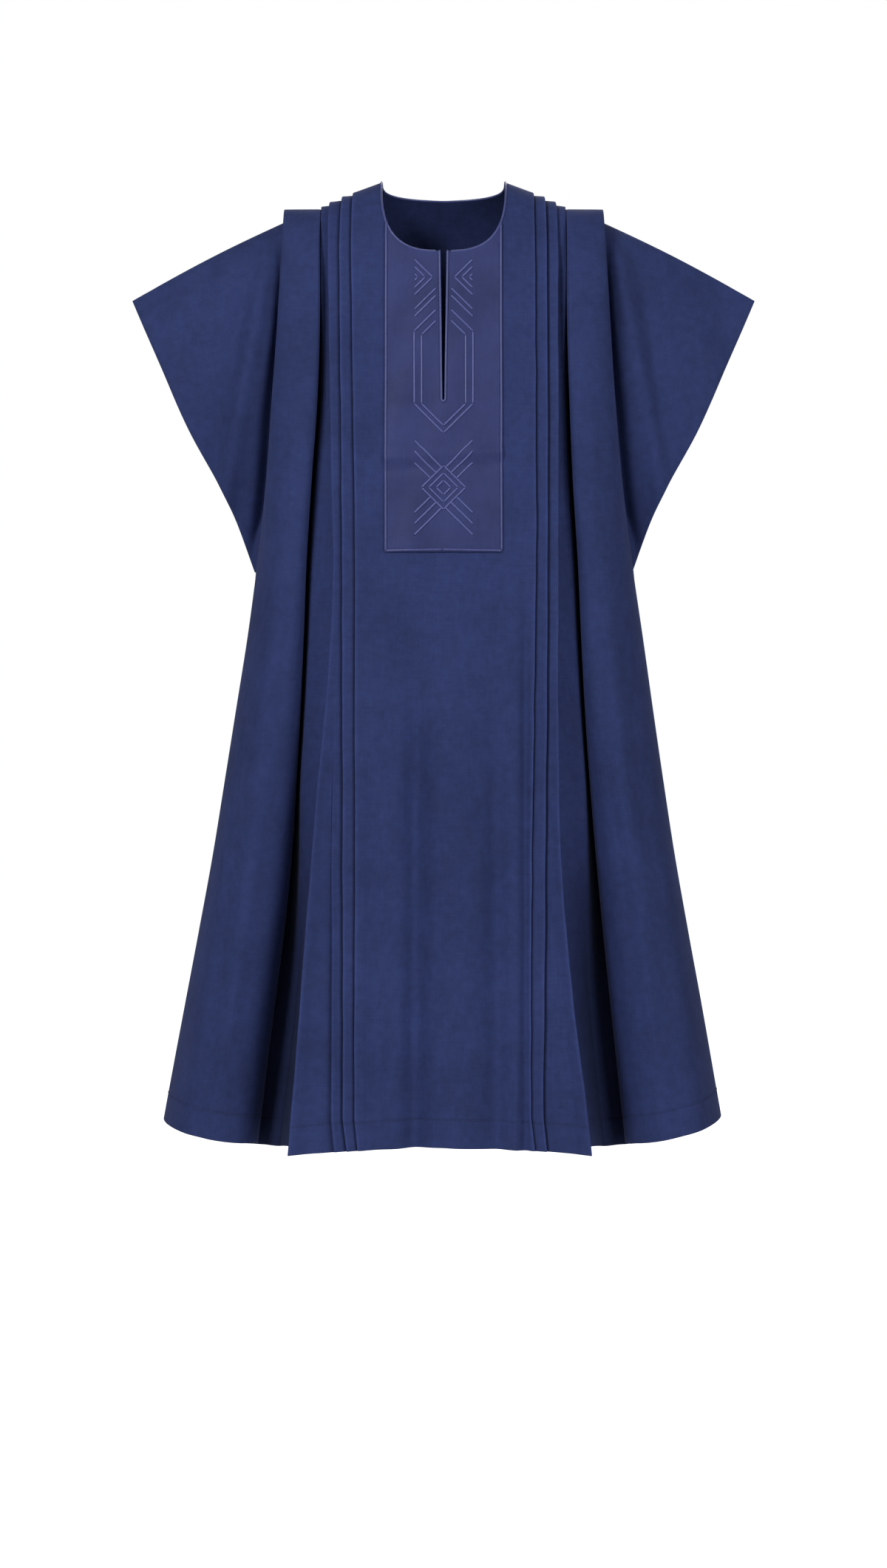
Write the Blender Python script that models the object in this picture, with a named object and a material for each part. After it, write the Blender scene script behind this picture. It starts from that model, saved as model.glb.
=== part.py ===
"""Grand boubou robe, filled out as it is worn, with nobody in it.

Run with: blender --background --python part.py
Units are metres, +Z is up, the front faces -Y and the origin lies on top of the
shoulders, midway between the two sides of the neck, where the wearer holds it up.

Every piece of cloth is a thin closed wall. Its middle surface is a grid: columns
run down the cloth and rows run round it, and both come from the tables below.
"""

from collections import namedtuple

import bpy
import numpy as np

# Driving sizes ---------------------------------------------------------------
CLOTH_WALL = 0.0020
BIB_WALL = 0.0012
SEAM_GAP = 0.0003
LAP_GAP = 0.0026  # middle to middle of two walls of cloth that are sewn flat on each other

NECK_HALF_WIDTH = 0.073
NECK_DROP_FRONT = 0.095
NECK_DROP_BACK = 0.012
NECK_ROUNDNESS = 3.0  # power of the neck curve, 2 is an ellipse
NECK_EASE = 0.15

SLIT_TOP_HALF = 0.0040
SLIT_TIP_HALF = 0.0015
SLIT_TIP = -0.271
BIB_HALF_WIDTH = 0.068
BIB_FOOT = -0.447
SLIT_DRIFT = 0.008
SLIT_DRIFT_DROP = 0.3

PLEAT_STEP = 0.0030
PLEAT_EDGE = 0.0006
PLEATS = ("pleat_1", "pleat_2", "pleat_3")
FLARE_TURN = 0.014  # how far the flare's edge is turned under
FLARE_TURN_SHARE = 0.6  # and at most this much of the flare's width
FLARE_EDGE_STEPS = 4.6  # pleat steps down to the underside of the flare's edge
FLARE_UNDER_STEPS = 5.0
FLARE_POWER = 1.5
STRIP_SEAM_INSET = 0.012  # the recessed strip is sewn this far in from the last pleat
STRIP_STEEPNESS = 0.8
ROLL_ACROSS = 0.35  # a column part of the way up the inner roll of the shoulder fold
ROLL_DEPTH = 0.65
TUCK_DROP = 0.0035
TUCK_REACH = 0.012
TUCK_TOP_DROP = 0.0038
SEAM_TUCK_SHARE = 0.35  # the sleeve leaves the turned-back cloth here
GIRTH_POWER = 2.2
GIRTH_LIMIT = 0.98
SHOULDER_ROUND = 0.100  # drop over which the cloth turns from level to upright
SHOULDER_FOLD_TOP = -0.032
UNDERARM = -0.4625

CORD_RADIUS = 0.0012
CORD_SIDES = 6
CORD_CLEARANCE = 0.0009
NECK_CORD_CLEARANCE = 0.0027
BIB_CORD_INSET = 0.0030
SLIT_CORD_INSET = 0.0022
SLIT_CORD_START = 0.006
SLIT_CORD_TIP = 0.0045

# Heights of the rows below the rounded shoulder; the last row of a piece is its hem
SHOULDER_ROWS = 6
BODY_ROWS = (-0.360, UNDERARM, -0.540, -0.640, -0.740, -0.840, -0.940, -1.040)
UNDERARM_ROW = SHOULDER_ROWS + 1 + BODY_ROWS.index(UNDERARM)
FLARE_ROW = UNDERARM_ROW + 1

# Columns, measured out from the middle
BIB_COLUMNS = (0.018, 0.035, 0.050, 0.061, BIB_HALF_WIDTH)
NECK_SIDE_COLUMNS = ((0.0715, 0.0735), (0.0727, 0.0780), (NECK_HALF_WIDTH, 0.0850))
BACK_COLUMNS = (0.012, 0.034, 0.052, 0.066, NECK_HALF_WIDTH)
LAST_PLAIN_COLUMN = 0.094
STRIP_SHARES = (0.0, 0.15, 0.40, 0.70, 1.0)
FACE_ANGLES = (0.0, 25.0, 50.0, 72.0, 90.0)
TUCK_SHARES = (1.0, SEAM_TUCK_SHARE, 0.0)

# Tables ----------------------------------------------------------------------
SHOULDER_COLUMNS = ("across", "height")
SHOULDER = (
    (0.000, 0.0200),
    (0.073, 0.0000),
    (0.107, -0.0125),
    (0.135, -0.0185),
    (0.146, -0.0215),
    (0.200, -0.0400),
)

# Girth of the body and depth of the folds, the same on both sides
BODY_COLUMNS = (
    "height", "front", "back", "wrap", "hollow_level", "roll",
    "edge_depth", "tuck", "tuck_level", "flare_lift",
)
BODY = (
    (0.000, 0.080, 0.080, 0.50, -0.0120, 0.0015, 0.0700, 0.158, 0.0045, 0.000),
    (-0.050, 0.086, 0.086, 0.48, -0.0150, 0.0020, 0.0720, 0.159, 0.0060, 0.000),
    (-0.170, 0.102, 0.098, 0.42, -0.0220, 0.0040, 0.0780, 0.162, 0.0100, 0.000),
    (-0.271, 0.112, 0.105, 0.36, -0.0285, 0.0060, 0.0700, 0.174, 0.0130, 0.000),
    (-0.360, 0.119, 0.110, 0.31, -0.0340, 0.0080, 0.0480, 0.193, 0.0120, 0.000),
    (UNDERARM, 0.126, 0.114, 0.28, -0.0390, 0.0100, 0.0095, 0.212, 0.0060, 0.000),
    (-0.540, 0.129, 0.117, 0.285, -0.0425, 0.0110, 0.0, 0.230, 0.0050, 0.003),
    (-0.625, 0.134, 0.121, 0.29, -0.0465, 0.0120, 0.0, 0.245, 0.0050, 0.006),
    (-0.710, 0.139, 0.127, 0.30, -0.0510, 0.0140, 0.0, 0.260, 0.0050, 0.009),
    (-0.800, 0.146, 0.134, 0.31, -0.0570, 0.0160, 0.0, 0.270, 0.0050, 0.012),
    (-0.890, 0.153, 0.142, 0.325, -0.0640, 0.0180, 0.0, 0.280, 0.0050, 0.015),
    (-0.980, 0.162, 0.152, 0.34, -0.0710, 0.0200, 0.0, 0.300, 0.0050, 0.017),
    (-1.060, 0.172, 0.163, 0.35, -0.0770, 0.0220, 0.0, 0.310, 0.0050, 0.019),
    (-1.140, 0.186, 0.176, 0.365, -0.0830, 0.0240, 0.0, 0.320, 0.0050, 0.021),
)

# Where each fold runs, measured out from the middle; the two sides hang a little apart
FOLD_COLUMNS = ("height", "pleat_1", "pleat_2", "pleat_3", "flare", "hollow", "outer")
LEFT_FOLDS = (
    (0.000, 0.1070, 0.1195, 0.1335, 0.1350, 0.1460, 0.1890),
    (-0.050, 0.1075, 0.1210, 0.1345, 0.1360, 0.1455, 0.1885),
    (-0.170, 0.1060, 0.1204, 0.1327, 0.1342, 0.1440, 0.1934),
    (-0.271, 0.1045, 0.1192, 0.1308, 0.1323, 0.1470, 0.2010),
    (-0.360, 0.1030, 0.1180, 0.1285, 0.1300, 0.1535, 0.2085),
    (UNDERARM, 0.1022, 0.1173, 0.1260, 0.1275, 0.1600, 0.2220),
    (-0.540, 0.1020, 0.1170, 0.1260, 0.1290, 0.1630, 0.2325),
    (-0.625, 0.1020, 0.1166, 0.1280, 0.1355, 0.1668, 0.2460),
    (-0.710, 0.1018, 0.1160, 0.1290, 0.1445, 0.1718, 0.2595),
    (-0.800, 0.1018, 0.1157, 0.1283, 0.1515, 0.1775, 0.2740),
    (-0.890, 0.1017, 0.1152, 0.1276, 0.1583, 0.1865, 0.2905),
    (-0.980, 0.1017, 0.1148, 0.1268, 0.1650, 0.1980, 0.3075),
    (-1.060, 0.1016, 0.1144, 0.1262, 0.1710, 0.2080, 0.3225),
    (-1.140, 0.1015, 0.1140, 0.1255, 0.1775, 0.2175, 0.3370),
)
RIGHT_FOLDS = (
    (0.000, 0.1070, 0.1195, 0.1315, 0.1330, 0.1460, 0.1890),
    (-0.050, 0.1062, 0.1200, 0.1325, 0.1340, 0.1450, 0.1890),
    (-0.170, 0.1064, 0.1202, 0.1325, 0.1340, 0.1440, 0.1941),
    (-0.271, 0.1065, 0.1203, 0.1323, 0.1338, 0.1468, 0.2010),
    (-0.360, 0.1067, 0.1204, 0.1322, 0.1337, 0.1505, 0.2100),
    (UNDERARM, 0.1069, 0.1205, 0.1320, 0.1335, 0.1570, 0.2250),
    (-0.540, 0.1055, 0.1198, 0.1310, 0.1330, 0.1605, 0.2365),
    (-0.625, 0.1040, 0.1188, 0.1308, 0.1330, 0.1650, 0.2485),
    (-0.710, 0.1028, 0.1180, 0.1312, 0.1336, 0.1708, 0.2608),
    (-0.800, 0.1015, 0.1170, 0.1328, 0.1354, 0.1785, 0.2746),
    (-0.890, 0.1005, 0.1160, 0.1385, 0.1413, 0.1870, 0.2905),
    (-0.980, 0.1000, 0.1150, 0.1478, 0.1508, 0.1960, 0.3070),
    (-1.060, 0.0997, 0.1142, 0.1570, 0.1600, 0.2045, 0.3210),
    (-1.140, 0.0995, 0.1135, 0.1655, 0.1685, 0.2130, 0.3350),
)
FOLDS = {-1: LEFT_FOLDS, 1: RIGHT_FOLDS}

# Open edge of the sleeve from its tip (share 0) to the underarm (share 1)
SLEEVE_COLUMNS = ("share", "across", "height", "depth")
SLEEVE_EDGE = (
    (0.00, 0.3700, -0.1400, 0.000),
    (0.10, 0.3560, -0.1720, 0.012),
    (0.25, 0.3350, -0.2190, 0.025),
    (0.50, 0.3000, -0.2980, 0.033),
    (0.72, 0.2650, -0.3625, 0.026),
    (0.87, 0.2446, -0.4060, 0.014),
    (1.00, 0.2245, -0.4625, 0.0034),
)
SLEEVE_BULGE = 0.008
SLEEVE_SPREAD = 0.55  # how soon the sleeve leaves the fold that hides its seam
SLEEVE_STEPS = 6

HEM_CENTRE = -1.1275
HEM_FLARE_DROP = 0.0105
HEM_FLARE_REACH = 0.177
HEM_HOLLOW = -1.1320
HEM_RISE = {-1: 0.0210, 1: 0.0250}
HEM_POWER = 1.3

SIDES = (-1, 1)
SIDE_NAMES = {-1: "left", 1: "right"}
FRONT = -1
BACK = 1
FACE_NAMES = {FRONT: "front", BACK: "back"}

NAVY = (0.026, 0.036, 0.125, 1.0)
BIB_NAVY = (0.040, 0.050, 0.160, 1.0)
CORD_NAVY = (0.070, 0.085, 0.240, 1.0)

Column = namedtuple("Column", "side across depth ridge top bottom")


# Reading the tables ----------------------------------------------------------
def reading(rows, names, name, at):
    """A named column of a table at any place along its first column, eased between its rows."""
    column = names.index(name)
    places = np.array([row[0] for row in rows])
    values = np.array([row[column] for row in rows])
    if places[0] > places[-1]:
        places = -places
        at = -at
    slopes = np.gradient(values, places)
    at = min(max(at, places[0]), places[-1])
    left = min(int(np.searchsorted(places, at, side="right")) - 1, len(places) - 2)
    span = places[left + 1] - places[left]
    t = (at - places[left]) / span
    return (
        (1 + 2 * t) * (1 - t) ** 2 * values[left]
        + t * (1 - t) ** 2 * span * slopes[left]
        + t * t * (3 - 2 * t) * values[left + 1]
        + t * t * (t - 1) * span * slopes[left + 1]
    )


def body(name, height):
    return reading(BODY, BODY_COLUMNS, name, height)


def fold(side, name, height):
    return reading(FOLDS[side], FOLD_COLUMNS, name, height)


def shoulder_height(across):
    places = [row[0] for row in SHOULDER]
    heights = [row[1] for row in SHOULDER]
    return float(np.interp(across, places, heights))


def neck_height(face, across):
    """Height of the cut edge of the neck at a distance from the middle."""
    drop = NECK_DROP_FRONT if face == FRONT else NECK_DROP_BACK
    share = min(across / NECK_HALF_WIDTH, 1.0)
    return -drop * (1.0 - share**NECK_ROUNDNESS) ** (1.0 / NECK_ROUNDNESS)


def girth_depth(face, across, height):
    """Depth of the filled-out body in front of or behind its middle, before any fold."""
    full = body(FACE_NAMES[face], height)
    share = min(across / body("wrap", height), GIRTH_LIMIT)
    return full * (1.0 - share**GIRTH_POWER) ** (1.0 / GIRTH_POWER)


def shoulder_turn(across, top, height):
    """0 on the ridge of the shoulder and 1 where the cloth hangs straight down."""
    middle = shoulder_height(across) - SHOULDER_ROUND
    if height <= middle:
        return 1.0
    return np.sqrt(max(0.0, 1.0 - ((height - middle) / (top - middle)) ** 2))


# Columns of cloth --------------------------------------------------------------
def column_points(face, column):
    """Points down one column, from the neck or the shoulder to the hem."""
    top = column.top
    turn = [1.0 - np.cos(0.5 * np.pi * row / SHOULDER_ROWS) for row in range(SHOULDER_ROWS + 1)]
    heights = [top + (SLIT_TIP - top) * share for share in turn]
    heights += list(BODY_ROWS) + [column.bottom]
    points = []
    for height in heights:
        across = column.across(height)
        depth = column.depth(height) * shoulder_turn(across, column.ridge, height)
        depth = max(depth, 0.5 * SEAM_GAP)
        points.append((column.side * across, face * depth, height))
    return points


def front_hem(across):
    return HEM_CENTRE - HEM_FLARE_DROP * (across / HEM_FLARE_REACH) ** HEM_POWER


def side_hem(side, across):
    start = fold(side, "hollow", HEM_HOLLOW)
    end = fold(side, "outer", HEM_HOLLOW)
    share = min(max((across - start) / (end - start), 0.0), 1.0)
    return HEM_HOLLOW + HEM_RISE[side] * share**HEM_POWER


def plain_column(face, side, across, level):
    """A column of the middle panel; across and level are lengths, or functions of the height."""
    track = across if callable(across) else steady(across)
    rise = level if callable(level) else steady(level)

    def depth(height):
        return girth_depth(face, track(height), height) + rise(height)

    start = track(0.0)
    ridge = shoulder_height(start) + rise(0.0)
    top = min(ridge, neck_height(face, start)) if start < NECK_HALF_WIDTH else ridge
    return Column(side, track, depth, ridge, top, front_hem(track(HEM_CENTRE)))


def steady(value):
    return lambda height: value


def neck_track(start, end):
    """A column that leaves the steep side of the neck and drifts clear of its neighbours below."""
    top = neck_height(FRONT, start)
    return lambda height: end + (start - end) * np.exp(min(0.0, height - top) / NECK_EASE)


def slit_edge(height):
    """Half the width of the slit, and below its tip a plain column that drifts outwards."""
    if height >= SLIT_TIP:
        share = (height - SLIT_TIP) / (-NECK_DROP_FRONT - SLIT_TIP)
        return SLIT_TIP_HALF + (SLIT_TOP_HALF - SLIT_TIP_HALF) * min(share, 1.0)
    return SLIT_TIP_HALF + SLIT_DRIFT * min(1.0, (SLIT_TIP - height) / SLIT_DRIFT_DROP)


def flare_lift(side, across, height):
    """How far the flare stands forward: nothing at the second pleat, most at the flare's edge."""
    start = fold(side, "pleat_2", height)
    end = fold(side, "flare", height)
    share = min(max((across - start) / (end - start), 0.0), 1.0)
    return body("flare_lift", height) * share**FLARE_POWER


def middle_columns(face, side):
    """Columns of the front or back panel from the middle outwards: plain cloth, pleats, flare."""
    columns = []
    if face == FRONT:
        columns.append(plain_column(face, side, slit_edge, 0.0))
        for across in BIB_COLUMNS:
            columns.append(plain_column(face, side, across, 0.0))
        for start, end in NECK_SIDE_COLUMNS:
            columns.append(plain_column(face, side, neck_track(start, end), 0.0))
    else:
        for across in BACK_COLUMNS:
            columns.append(plain_column(face, side, across, 0.0))
    columns.append(plain_column(face, side, LAST_PLAIN_COLUMN, 0.0))
    for steps, pleat in enumerate(PLEATS):
        columns.append(fold_column(face, side, pleat, 0.0, steps))
        columns.append(fold_column(face, side, pleat, PLEAT_EDGE, steps + 1))
    columns.append(fold_column(face, side, "flare", 0.0, len(PLEATS)))
    columns.append(fold_column(face, side, "flare", 0.0, FLARE_EDGE_STEPS))
    columns.append(turned_column(face, side))
    return columns


def fold_column(face, side, name, beyond, steps):
    """A column along a fold of the middle panel, a number of pleat steps below the plain cloth."""
    def across(height):
        return fold(side, name, height) + beyond

    def level(height):
        return flare_lift(side, across(height), height) - steps * PLEAT_STEP

    return plain_column(face, side, across, level)


def turned_column(face, side):
    """The inner end of the cloth turned under at the flare's edge."""
    def across(height):
        edge = fold(side, "flare", height)
        width = edge - fold(side, "pleat_3", height)
        return edge - min(FLARE_TURN, FLARE_TURN_SHARE * width)

    def level(height):
        edge = fold(side, "flare", height)
        return flare_lift(side, edge, height) - FLARE_UNDER_STEPS * PLEAT_STEP

    return plain_column(face, side, across, level)


def face_depth(face, side, across, height):
    """Depth of the shoulder fold's face: level at its inner roll, turning away to its outer edge."""
    inner = fold(side, "hollow", height) + body("roll", height)
    outer = fold(side, "outer", height)
    edge = body("edge_depth", height)
    crest = girth_depth(face, inner, height)
    share = min(max((across - inner) / (outer - inner), 0.0), 1.0)
    return edge + (crest - edge) * np.sqrt(1.0 - share**2)


def side_column(side, across, depth, top):
    return Column(side, across, depth, top, top, side_hem(side, across(HEM_HOLLOW)))


def side_columns(face, side):
    """Columns of a side panel: lap under the pleats, strip, hollow, roll, face and tuck."""
    columns = []

    def strip(share):
        """A column of the recessed strip, from its hidden seam (0) to the bottom of the hollow (1)."""
        def seam(height):
            return fold(side, "pleat_3", height) - STRIP_SEAM_INSET

        def across(height):
            return seam(height) + (fold(side, "hollow", height) - seam(height)) * share

        def level(height):
            lap = flare_lift(side, seam(height), height) - len(PLEATS) * PLEAT_STEP - LAP_GAP
            return lap + (body("hollow_level", height) - lap) * share**STRIP_STEEPNESS

        def depth(height):
            return girth_depth(face, across(height), height) + level(height)

        return side_column(side, across, depth, shoulder_height(across(0.0)) + level(0.0))

    for share in STRIP_SHARES:
        columns.append(strip(share))

    def roll_across(height):
        return fold(side, "hollow", height) + ROLL_ACROSS * body("roll", height)

    def roll_depth(height):
        inner = fold(side, "hollow", height) + body("roll", height)
        crest = face_depth(face, side, inner, height)
        bottom = girth_depth(face, inner, height) + body("hollow_level", height)
        return bottom + (crest - bottom) * ROLL_DEPTH

    columns.append(side_column(side, roll_across, roll_depth, SHOULDER_FOLD_TOP - SEAM_GAP))
    for angle in FACE_ANGLES:
        columns.append(face_column(face, side, np.sin(np.radians(angle))))
    for share in TUCK_SHARES:
        columns.append(tuck_column(face, side, share, 0.0))
    return columns


def face_column(face, side, reach):
    """A column of the shoulder fold's face, from its inner roll (0) to its outer edge (1)."""
    def across(height):
        inner = fold(side, "hollow", height) + body("roll", height)
        return inner + (fold(side, "outer", height) - inner) * reach

    def depth(height):
        return face_depth(face, side, across(height), height)

    return side_column(side, across, depth, SHOULDER_FOLD_TOP)


def tuck_column(face, side, share, below):
    """The cloth turned back under the shoulder fold: share 1 at the fold's edge, 0 at the seam."""
    def across(height):
        inner = body("tuck", height)
        return inner + (fold(side, "outer", height) - inner) * share

    def depth(height):
        edge = body("edge_depth", height) - TUCK_DROP
        inner = face_depth(face, side, body("tuck", height), height) - body("tuck_level", height)
        inner = min(inner, edge + TUCK_REACH)
        return edge * share + inner * (1 - share) - below

    top = SHOULDER_FOLD_TOP - TUCK_TOP_DROP - below
    return side_column(side, across, depth, top)


# Grids -------------------------------------------------------------------------
def grid_of(face, columns):
    """Rows by columns of points."""
    return np.array([column_points(face, column) for column in columns]).transpose(1, 0, 2)


def middle_panel(face):
    """The front or back panel's grid and its cells, in from the left edge and out to the right."""
    columns = middle_columns(face, -1)[::-1] + middle_columns(face, 1)
    grid = grid_of(face, columns)
    cells = np.ones((grid.shape[0] - 1, grid.shape[1] - 1), bool)
    middle = grid.shape[1] // 2 - 1
    if face == FRONT:
        cells[:SHOULDER_ROWS, middle] = False
    for tucked in (0, 1, -2, -1):
        cells[:FLARE_ROW, tucked] = False
    return grid, cells


def side_panel(face, side):
    grid = grid_of(face, side_columns(face, side))
    cells = np.ones((grid.shape[0] - 1, grid.shape[1] - 1), bool)
    cells[UNDERARM_ROW - 1 :, -3:] = False
    return grid, cells


def sleeve(face, side):
    """Sleeve layer: its first two columns lie on the turned-back cloth, the rest spread to the edge."""
    lap = grid_of(face, [tuck_column(face, side, share, LAP_GAP) for share in (0.0, SEAM_TUCK_SHARE)])
    lap = lap[: UNDERARM_ROW + 1]
    start = lap[:, 1]
    rows = len(lap)
    shares = (start[0, 2] - start[:, 2]) / (start[0, 2] - start[-1, 2])
    edge = np.array(
        [
            [reading(SLEEVE_EDGE, SLEEVE_COLUMNS, name, share) for name in SLEEVE_COLUMNS[1:]]
            for share in shares
        ]
    )
    columns = [lap[:, 0], start]
    for step in range(1, SLEEVE_STEPS + 1):
        s = step / SLEEVE_STEPS
        points = np.empty((rows, 3))
        across = (1 - s) * np.abs(start[:, 0]) + s * edge[:, 0]
        bulge = SLEEVE_BULGE * np.sin(np.pi * s) * (1 - shares) ** 2
        deep = np.abs(start[:, 1]) + (edge[:, 2] - np.abs(start[:, 1])) * s**SLEEVE_SPREAD
        points[:, 0] = side * across
        points[:, 1] = face * np.maximum(deep, 0.5 * SEAM_GAP)
        points[:, 2] = (1 - s) * start[:, 2] + s * edge[:, 1] + bulge
        columns.append(points)
    grid = np.array(columns).transpose(1, 0, 2)
    return grid, np.ones((grid.shape[0] - 1, grid.shape[1] - 1), bool)


# Walls ---------------------------------------------------------------------------
def grid_normals(grid, cells, face):
    """Unit normals that point away from the body, averaged over the cells that meet at a point."""
    normals = np.zeros_like(grid)
    for row, column in zip(*np.nonzero(cells)):
        corners = grid[row : row + 2, column : column + 2]
        across = corners[:, 1] - corners[:, 0]
        down = corners[1] - corners[0]
        normal = np.cross(across.sum(axis=0), down.sum(axis=0))
        normals[row : row + 2, column : column + 2] += normal / np.linalg.norm(normal)
    length = np.linalg.norm(normals, axis=2, keepdims=True)
    normals = normals / np.maximum(length, 1e-9)
    if normals[len(grid) // 2, :, 1].sum() * face < 0:
        normals = -normals
    return normals


def upright_seam(normals, places):
    """Squares the ends of a wall to the seam plane between front and back."""
    normals[places] *= (1.0, 0.0, 1.0)
    length = np.linalg.norm(normals[places], axis=-1, keepdims=True)
    normals[places] /= np.maximum(length, 1e-9)


def new_object(name, points, faces, colour, roughness):
    mesh = bpy.data.meshes.new(name)
    mesh.from_pydata([tuple(point) for point in points], [], faces)
    mesh.validate()
    volume = sum(
        np.dot(points[a], np.cross(points[b], points[c])) for a, b, c in faces
    )
    if volume < 0:
        mesh.flip_normals()
    made = bpy.data.objects.new(name, mesh)
    bpy.context.collection.objects.link(made)
    mesh.materials.append(cloth_material(name, colour, roughness))
    return made


def cloth_material(name, colour, roughness):
    material = bpy.data.materials.new(name + "_cloth")
    material.use_nodes = True
    shader = material.node_tree.nodes["Principled BSDF"]
    shader.inputs["Base Color"].default_value = colour
    shader.inputs["Roughness"].default_value = roughness
    shader.inputs["Metallic"].default_value = 0.0
    return material


def cloth_wall(name, grid, cells, normals, low, high, colour, roughness=0.8):
    """A closed wall between two offsets of a grid, with a face along every open edge."""
    used = np.zeros(grid.shape[:2], bool)
    for row, column in zip(*np.nonzero(cells)):
        used[row : row + 2, column : column + 2] = True
    number = np.full(used.shape, -1)
    number[used] = np.arange(used.sum())
    count = int(used.sum())
    points = np.concatenate([grid[used] + high * normals[used], grid[used] + low * normals[used]])
    faces = []
    edges = {}
    for row, column in zip(*np.nonzero(cells)):
        a = number[row, column]
        b = number[row, column + 1]
        c = number[row + 1, column + 1]
        d = number[row + 1, column]
        for triangle in ((a, b, c), (a, c, d)):
            faces.append(tuple(int(corner) for corner in triangle))
            faces.append(tuple(int(corner) + count for corner in reversed(triangle)))
        for start, end in ((a, b), (b, c), (c, d), (d, a)):
            key = (min(start, end), max(start, end))
            edges.setdefault(key, []).append((int(start), int(end)))
    for runs in edges.values():
        if len(runs) == 1:
            start, end = runs[0]
            faces.append((end, start, start + count))
            faces.append((end, start + count, end + count))
    return new_object(name, points, faces, colour, roughness)


def cord(name, path):
    """A round cord along a path of points, as a tube of few sides with flat ends."""
    along = np.concatenate([path[1:], path[-1:]]) - np.concatenate([path[:1], path[:-1]])
    along /= np.linalg.norm(along, axis=1, keepdims=True)
    out = np.tile((0.0, -1.0, 0.0), (len(path), 1))
    out[path[:, 1] > 0] = (0.0, 1.0, 0.0)
    beside = np.cross(along, out)
    weak = np.linalg.norm(beside, axis=1) < 0.2
    beside[weak] = np.cross(along[weak], (0.0, 0.0, 1.0))
    beside /= np.linalg.norm(beside, axis=1, keepdims=True)
    for index in range(1, len(beside)):
        if np.dot(beside[index], beside[index - 1]) < 0:
            beside[index] *= -1
    up = np.cross(beside, along)
    angles = 2 * np.pi * np.arange(CORD_SIDES) / CORD_SIDES
    points = []
    for centre, right, high in zip(path, beside, up):
        for angle in angles:
            points.append(centre + CORD_RADIUS * (np.cos(angle) * right + np.sin(angle) * high))
    faces = []
    rings = len(path)
    for ring in range(rings - 1):
        for index in range(CORD_SIDES):
            beyond = (index + 1) % CORD_SIDES
            a = ring * CORD_SIDES + index
            b = ring * CORD_SIDES + beyond
            c = b + CORD_SIDES
            d = a + CORD_SIDES
            faces += [(a, b, c), (a, c, d)]
    last = (rings - 1) * CORD_SIDES
    for index in range(1, CORD_SIDES - 1):
        faces.append((0, index + 1, index))
        faces.append((last, last + index, last + index + 1))
    return new_object(name, np.array(points), faces, CORD_NAVY, 0.5)


# Pieces ------------------------------------------------------------------------------
def build_middle(face):
    """Front or back panel. The bib and the cords take their points from its grid."""
    grid, cells = middle_panel(face)
    normals = grid_normals(grid, cells, face)
    across = np.abs(grid[0, :, 0])
    top = np.nonzero(across >= NECK_HALF_WIDTH - 1e-9)[0]
    upright_seam(normals, (0, top))
    half = 0.5 * CLOTH_WALL
    cloth_wall(FACE_NAMES[face] + "_panel", grid, cells, normals, -half, half, NAVY)
    return grid, normals


def build_bib(grid, normals):
    """Bib, bib cord and slit cord, laid on the front panel one above the other."""
    inside = np.nonzero(np.abs(grid[0, :, 0]) <= BIB_HALF_WIDTH + 1e-9)[0]
    rows = SHOULDER_ROWS + 2
    above = rows - 1
    share = (grid[above, inside[0], 2] - BIB_FOOT) / (grid[above, inside[0], 2] - UNDERARM)
    bib = grid[: rows + 1, inside].copy()
    bib_normals = normals[: rows + 1, inside].copy()
    bib[rows] = (1 - share) * bib[above] + share * bib[rows]
    bib_normals[rows] = (1 - share) * bib_normals[above] + share * bib_normals[rows]
    cells = np.ones((rows, len(inside) - 1), bool)
    cells[:SHOULDER_ROWS, len(inside) // 2 - 1] = False
    low = 0.5 * CLOTH_WALL + SEAM_GAP
    high = low + BIB_WALL
    cloth_wall("bib", bib, cells, bib_normals, low, high, BIB_NAVY, 0.6)
    lift = high + CORD_CLEARANCE + CORD_RADIUS
    raised = bib + lift * bib_normals
    inset = BIB_CORD_INSET / (BIB_COLUMNS[-1] - BIB_COLUMNS[-2])
    left = raised[1:, 0] + inset * (raised[1:, 1] - raised[1:, 0])
    right = raised[1:, -1] + inset * (raised[1:, -2] - raised[1:, -1])
    left[-1, 2] += BIB_CORD_INSET
    right[-1, 2] += BIB_CORD_INSET
    foot = raised[-1, 1:-1] + (0.0, 0.0, BIB_CORD_INSET)
    cord("bib_cord", np.concatenate([left, foot, right[::-1]]))
    centre = len(inside) // 2
    rim_left = raised[: SHOULDER_ROWS + 1, centre - 1] - (SLIT_CORD_INSET, 0.0, 0.0)
    rim_right = raised[: SHOULDER_ROWS + 1, centre] + (SLIT_CORD_INSET, 0.0, 0.0)
    rim_left[0, 2] -= SLIT_CORD_START
    rim_right[0, 2] -= SLIT_CORD_START
    tip = 0.5 * (rim_left[-1] + rim_right[-1]) - (0.0, 0.0, SLIT_CORD_TIP)
    cord("slit_cord", np.concatenate([rim_left, [tip], rim_right[::-1]]))


def build_neck_cord(front, front_normals, back, back_normals):
    """The cord along the cut edge of the neck, open only at the slit."""
    lift = 0.5 * CLOTH_WALL + BIB_WALL + NECK_CORD_CLEARANCE + CORD_RADIUS
    edges = []
    for grid, normals in ((front, front_normals), (back, back_normals)):
        neck = np.nonzero(np.abs(grid[0, :, 0]) <= NECK_HALF_WIDTH + 1e-9)[0]
        edges.append(grid[0, neck] + lift * normals[0, neck])
    front_edge, back_edge = edges
    middle = len(front_edge) // 2
    right = front_edge[middle:-1]
    left = front_edge[1:middle]
    cord("neck_cord", np.concatenate([right, back_edge[::-1], left]))


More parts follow.
